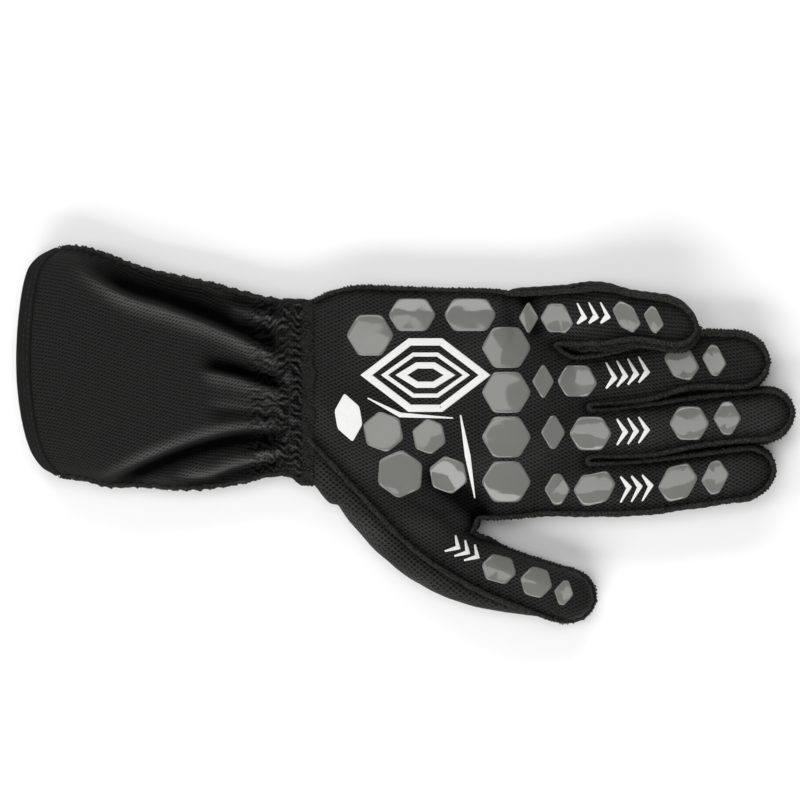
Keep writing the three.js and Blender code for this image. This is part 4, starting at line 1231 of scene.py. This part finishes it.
def pressed(line):
    # where two stretches of a seam run side by side they press each other small
    tree = pointTree(line)
    share = np.ones(len(line))
    for i, p in enumerate(line):
        close = tree.find_range(Vector(p), pressing["within"])
        gaps = [gap for _, j, gap in close if abs(i - j) > pressing["apart"]]
        share[i] = min(gaps, default=pressing["within"]) / pressing["within"]
    return lerp(pressing["share"], 1.0, smooth(softened(share, 12) * 1.2 - 0.15))


def overlockSeam(node, line, outward, seed, work=seamWork):
    reach = pressed(line)
    pressure = (1 - reach) / (1 - pressing["share"])
    centre = line + outward * (work["standing"] - pressure * work["sinking"])[:, None]
    rope = seamRope(node + "_rope", centre, outward, work["radius"] * reach, seed)
    values = {
        "Pitch": work["loopPitch"] * mm, "Loop Radius": work["loopRadius"] * mm,
        "Thread Radius": work["threadRadius"] * mm, "Lean": work["lean"],
        "Unevenness": work["unevenness"], "Seed": seed,
    }
    loops = sew(node + "_loops", centre, outward, overlock, values, reach=reach)
    seam = joinPieces(node.replace("_", ""), [rope, loops])
    tree = pointTree(centre)
    # painted shade: the thread is painted darker where the seam is pressed small between the fingers
    paintedShadingAndTone = [-pressure[tree.find(Vector(p))[1]] for p in pointsOf(seam.data) / mm - toFrame]
    writeValues(seam.data, "paintedShadingAndTone", paintedShadingAndTone)
    return finished(seam, node)


for seed, (node, line) in enumerate(seamLines.items()):
    posedLine = evenLine(lyingPose(line), seamStep, 2)
    overlockSeam(node, posedLine, unit(softened(normalsAt(posedTree, posedLine), 12)), seed * 10 + 1)

cuffSeamXs = np.arange(1.0, hemInside - 0.8, -seamStep)
for seed, (node, turn) in enumerate((("seam_cuff_little", join), ("seam_cuff_thumb", math.pi - join))):
    edgeStrip = cuffGrid(cuffSeamXs, np.array([turn - 0.02, turn, turn + 0.02]))[0]
    line = evenLine(edgeStrip[:, 1], seamStep, 3)
    outward = np.tile(Vector((0.0, math.cos(turn), 0.35)).normalized(), (len(line), 1))
    overlockSeam(node, line, outward, 80 + seed * 10, cuffSeamWork)
print("seams are sewn")

# The wrist band: the rough overlap where the hand is coverstitched to the cuff
band = {"half": 2.3, "height": 0.6, "sink": 1.0, "lumpUp": 1.0, "lumpAlong": 2.4}
bandProfile = [
    (-1, -1), (-1, 0.3), (-0.92, 0.75), (-0.7, 0.95), (-0.35, 1), (0, 0.92),
    (0.35, 1), (0.7, 0.95), (0.92, 0.75), (1, 0.3), (1, -1),
]
bandXs = np.array([x for x, _ in bandProfile]) * band["half"]
bandOffsets = np.array([h * (band["height"] if h > 0 else band["sink"]) for _, h in bandProfile])
bandGrid = cuffGrid(bandXs, np.linspace(0, 2 * math.pi, 481)[:-1], bandOffsets)[0]
lumps = noiseAt(bandGrid.reshape(-1, 3), 2.4, 31).reshape(bandGrid.shape[:2])
drift = noiseAt(bandGrid.reshape(-1, 3), 4.5, 32).reshape(bandGrid.shape[:2])
bandGrid[1:-1, :, 2] += band["lumpUp"] * lumps[1:-1]
bandGrid[1:-1, :, 0] += band["lumpAlong"] * drift[1:-1]
bandGrid[..., 2] = np.maximum(bandGrid[..., 2], floorGap)
bandFaces = [f[::-1] for f in gridFaces(*bandGrid.shape[:2], closedRows=True, closedColumns=True)]
bandPiece = makeMesh("wristTape", toMetres(bandGrid.reshape(-1, 3)), bandFaces)
bandPiece.data.materials.append(hemKnit)
# painted light and shade: the band's raised lumps are painted paler and its sunk ones darker
writeValues(bandPiece.data, "paintedShadingAndTone", np.clip(1.1 * lumps - 0.15, -1, 0.6))


def stitchRow(name, x, offset, work, seed):
    # top stitches right round the cuff or wrist at a place along it
    turnsRound = np.linspace(0, 2 * math.pi, 500)[:-1]
    grid = cuffGrid(np.array([x - 0.4, x, x + 0.4]), turnsRound, np.full(3, offset))[0]
    line = grid[1]
    line[:, 2] = np.maximum(line[:, 2], 2 * work["radius"])
    outward = unit(np.cross(np.roll(line, -1, 0) - np.roll(line, 1, 0), grid[2] - grid[0]))
    values = {
        "Pitch": work["pitch"] * mm, "Length": work["length"] * mm, "Thread Radius": work["radius"] * mm,
        "Lean": work["lean"], "Seed": seed,
    }
    return sew(name, line, softenedRound(outward, 6), topStitch, values, closed=True)


def stitchRows(name, places, offset, work, seed):
    return [stitchRow(f"{name}{i}", x, offset, work, seed + i) for i, x in enumerate(places)]


coverWork = {"pitch": 1.5, "length": 2.2, "radius": 0.26, "lean": 1.05}
covers = stitchRows("cover", (-1.5, 0.0, 1.5), band["height"] + 0.05, coverWork, 60)
finished(joinPieces("seamwrist", [bandPiece, *covers]), "seam_wrist")
hemWork = {"pitch": 2.3, "length": 1.9, "radius": 0.22, "lean": 0.0}
hemStitches = stitchRows("hemStitch", (hemInside - 0.6, hemInside - 2.2), hem["thickening"], hemWork, 70)
gatherWork = {"pitch": 2.6, "length": 1.7, "radius": 0.17, "lean": 0.3}
gatherXs = [gather["start"] - gather["rowLength"] * row for row in range(gather["rows"])]
gatherStitches = stitchRows("gatherStitch", gatherXs, -0.05, gatherWork, 75)
finished(joinPieces("topStitching", hemStitches + gatherStitches))
print("wrist and hem are stitched")


# Grip pads and prints, laid on the spread hand from above and posed with it
def drape(plan):
    flat = plan.reshape(-1, 2)
    ground = np.array([dropOn(handTree, x, y) for x, y in flat])
    return lyingPose(np.column_stack([flat, ground])).reshape(plan.shape[:-1] + (3,))


def evened(grid, times):
    # a closed grid of points softened between its rings, its first and last ring kept
    grid = grid.copy()
    for _ in range(times):
        inner = (np.roll(grid, 1, 1) + np.roll(grid, -1, 1) + 2 * grid)[1:-1] + grid[:-2] + grid[2:]
        grid[1:-1] = inner / 6
    return grid


def hexagonCorners(length, width, point):
    # a hexagon pointing along x
    side = [(length / 2, 0), (length / 2 - point, width / 2), (point - length / 2, width / 2)]
    return np.array(side + [(-x, -y) for x, y in side])


def hexagonRing(length, width, point, count=72, softness=4):
    # the hexagon's edge in even steps, its corners softened
    corners = hexagonCorners(length, width, point)
    corners = np.vstack([corners, corners[:1]])
    runs = runsAlong(corners)
    even = np.linspace(0, runs[-1], count, endpoint=False)
    ring = np.stack([np.interp(even, runs, corners[:, k]) for k in (0, 1)], -1)
    return softenedRound(ring, softness, own=2)


def cushion(name, ring, middle, work, material):
    # a flat slab lying on the cloth, rounded down at its edge
    reach = float(np.hypot(*ring.T).mean())
    insets = [reach * share for share in (0.9, 0.75, 0.6, 0.45, 0.3, 0.2, 0.1)]
    insets += [work["rounding"] * share for share in (1, 0.5, 0.2, 0.05, 0)]
    shares = np.array([1 - inset / reach for inset in insets])
    falls = [max(0.0, 1 - inset / work["rounding"]) for inset in insets]
    heights = np.array([work["height"] * math.sqrt(max(0.0, 1 - fall**2)) for fall in falls])
    laid = drape(middle + ring[None] * shares[:, None, None])
    normals = unit(evened(normalsAt(posedTree, laid), 12))
    top = evened(laid, work["evening"]) + normals * heights[:, None, None]
    low = laid - normals * work["sink"]
    grid = np.concatenate([top, low[::-1]])
    piece = makeMesh(name, toMetres(grid.reshape(-1, 3)), tubeFaces(*grid.shape[:2]))
    piece.data.materials.append(material)
    return piece


padWork = {"height": 0.45, "rounding": 0.15, "sink": 0.3, "evening": 14}
gripPoint = 0.3
grips = [  # name, place along the palm, across, length, width, turn
    ("palm_a", 0.211, 0.293, 0.165, 0.181, 0), ("palm_b", 0.355, 0.383, 0.165, 0.144, 0),
    ("palm_c", 0.256, -0.133, 0.149, 0.160, -20), ("palm_d", 0.314, -0.319, 0.174, 0.186, -35),
    ("palm_e", 0.554, 0.383, 0.182, 0.144, 0), ("palm_f", 0.413, -0.154, 0.124, 0.144, -20),
    ("palm_g", 0.479, -0.324, 0.140, 0.149, -20), ("palm_h", 0.678, 0.239, 0.174, 0.181, 0),
    ("palm_i", 0.678, 0.041, 0.174, 0.181, 0), ("palm_j", 0.678, -0.156, 0.174, 0.181, 0),
    ("palm_k", 0.678, -0.354, 0.174, 0.181, 0), ("thumb_a", 0.653, -0.739, 0.124, 0.117, -15),
    ("thumb_b", 0.781, -0.798, 0.116, 0.128, -15), ("thumb_c", 0.876, -0.844, 0.070, 0.112, -12),
]
fingerGrips = {  # place along the finger, length, width
    "little": [(-0.242, 0.101, 0.542), (-0.035, 0.166, 0.500), (0.474, 0.142, 0.458), (0.672, 0.101, 0.458)],
    "ring": [(-0.259, 0.112, 0.583), (-0.067, 0.201, 0.542), (0.517, 0.178, 0.562), (0.699, 0.124, 0.542)],
    "middle": [(-0.178, 0.124, 0.583), (0.006, 0.213, 0.583), (0.491, 0.201, 0.583), (0.677, 0.142, 0.583)],
    "index": [(-0.173, 0.130, 0.542), (0.029, 0.213, 0.542), (0.480, 0.201, 0.604), (0.681, 0.142, 0.583)],
}


def layPad(name, along, across, length, width, turn):
    angle = math.radians(turn)
    turned = np.array([[math.cos(angle), math.sin(angle)], [-math.sin(angle), math.cos(angle)]])
    ring = hexagonRing(length, width, gripPoint * width) @ turned
    pad = cushion("grip" + name.replace("_", ""), ring, np.array([along, across]), padWork, silicone)
    finished(pad, "grip_" + name)


for name, along, across, length, width, turn in grips:
    inPlace = [along * size["palmLength"], across * size["palmWidth"]]
    layPad(name, *inPlace, length * size["palmLength"], width * size["palmWidth"], turn)
for finger in fingers:
    for letter, (place, length, width) in zip("abcd", fingerGrips[finger["name"]]):
        along = finger["hinge"] + place * (finger["tip"] - finger["hinge"])
        lengths = [length * size["fingerLength"], width * size["fingerWidth"]]
        layPad(finger["name"] + "_" + letter, along, fingerMiddle(finger, along), *lengths, 0)
print("pads are laid")

# The prints: plain hexagons one in another between the pads, slivers, and brackets on the fingers and thumb
strokeSection = [  # share of the half width, height over the cloth
    (-1, -0.25), (-1, 0.06), (-0.8, 0.11), (-0.4, 0.12), (0, 0.12),
    (0.4, 0.12), (0.8, 0.11), (1, 0.06), (1, -0.25),
]
hexagons = {"middle": (48.5, 11.0), "sizes": [(49, 27.5, 18, 3.0), (34, 17, 12, 1.7), (20, 8, 6.5, 2.6)]}
bars = [
    ([(63.0, -5.5), (66.0, -22.5), (69.0, -40.0)], [0.6, 2.4, 0.5]),
    ([(24.5, 1.5), (38.0, -5.5), (60.0, -6.8)], [0.5, 2.0, 0.5]),
]
brackets = {  # places along, reach to each side, how far the ends lie back
    "little": ((114.4, 119.2, 124), 4.3, 2.9), "ring": ((127, 131.5, 136, 140.5), 5.4, 3.5),
    "middle": ((131.5, 136, 140.5), 5.4, 3.5), "index": ((133, 137.5, 142), 5.4, 3.5),
}
thumbBrackets = [(62, -60.5), (66, -62.5), (70, -64.3)]
heelPatch = {"middle": (16.6, -6.6), "length": 20.5, "width": 10.5, "point": 6.5}
patchWork = {"height": 0.16, "rounding": 0.12, "sink": 0.3, "evening": 0}


def ribbon(name, path, widths, closed=False):
    # a thin printed stroke along a path, its width given at each corner of the path
    path = np.array(path, float)
    widths = np.array(widths, float)
    if closed:
        path, widths = np.vstack([path, path[:1]]), np.append(widths, widths[0])
    runs = runsAlong(path)
    steps = np.concatenate([np.linspace(0, runs[-1], max(4, int(runs[-1] / 0.7))), runs])
    steps = np.unique(np.round(steps, 3))
    middles = np.stack([np.interp(steps, runs, path[:, k]) for k in (0, 1)], -1)
    halves = np.interp(steps, runs, widths) / 2
    heading = unit(np.diff(middles, axis=0))
    before = np.vstack([heading[-1:] if closed else heading[:1], heading])
    after = np.vstack([heading, heading[:1] if closed else heading[-1:]])
    mitre = (before + after) / (1 + (before * after).sum(1))[:, None]
    aside = np.stack([-mitre[:, 1], mitre[:, 0]], -1)
    laid = drape(np.stack([middles + aside * (halves * share)[:, None] for share, _ in strokeSection], 1))
    heights = np.array([height for _, height in strokeSection])
    grid = laid + normalsAt(posedTree, laid) * heights[None, :, None]
    if closed:
        grid = grid[:-1]
        faces = gridFaces(*grid.shape[:2], closedRows=True, closedColumns=True, flipped=True)
    else:
        faces = tubeFaces(*grid.shape[:2])
    piece = makeMesh(name, toMetres(grid.reshape(-1, 3)), faces, smoothShade=False)
    piece.data.materials.append(ink)
    return piece


prints = []
for i, (length, width, point, stroke) in enumerate(hexagons["sizes"]):
    path = hexagonCorners(length, width, point) + hexagons["middle"]
    prints.append(ribbon(f"hexagon{i}", path, [stroke] * 6, closed=True))
for i, (path, widths) in enumerate(bars):
    prints.append(ribbon(f"bar{i}", path, widths))
for finger in fingers:
    places, reach, back = brackets[finger["name"]]
    for i, x in enumerate(places):
        middle = fingerMiddle(finger, x)
        path = [(x - back, middle - reach), (x, middle), (x - back, middle + reach)]
        prints.append(ribbon(f"bracket{finger['name']}{i}", path, [0.7, 2.1, 0.7]))
for i, (x, y) in enumerate(thumbBrackets):
    path = [(x - 5.5, y - 1.5), (x, y), (x - 1.0, y + 5.0)]
    prints.append(ribbon(f"bracketThumb{i}", path, [0.7, 1.8, 0.7]))
patchRing = hexagonRing(heelPatch["length"], heelPatch["width"], heelPatch["point"], softness=2)
patchRing = patchRing @ np.array([[-0.17, 0.985], [-0.985, -0.17]])
prints.append(cushion("heelPatch", patchRing, np.array(heelPatch["middle"]), patchWork, ink))
finished(joinPieces("prints", prints))
print("prints are laid")
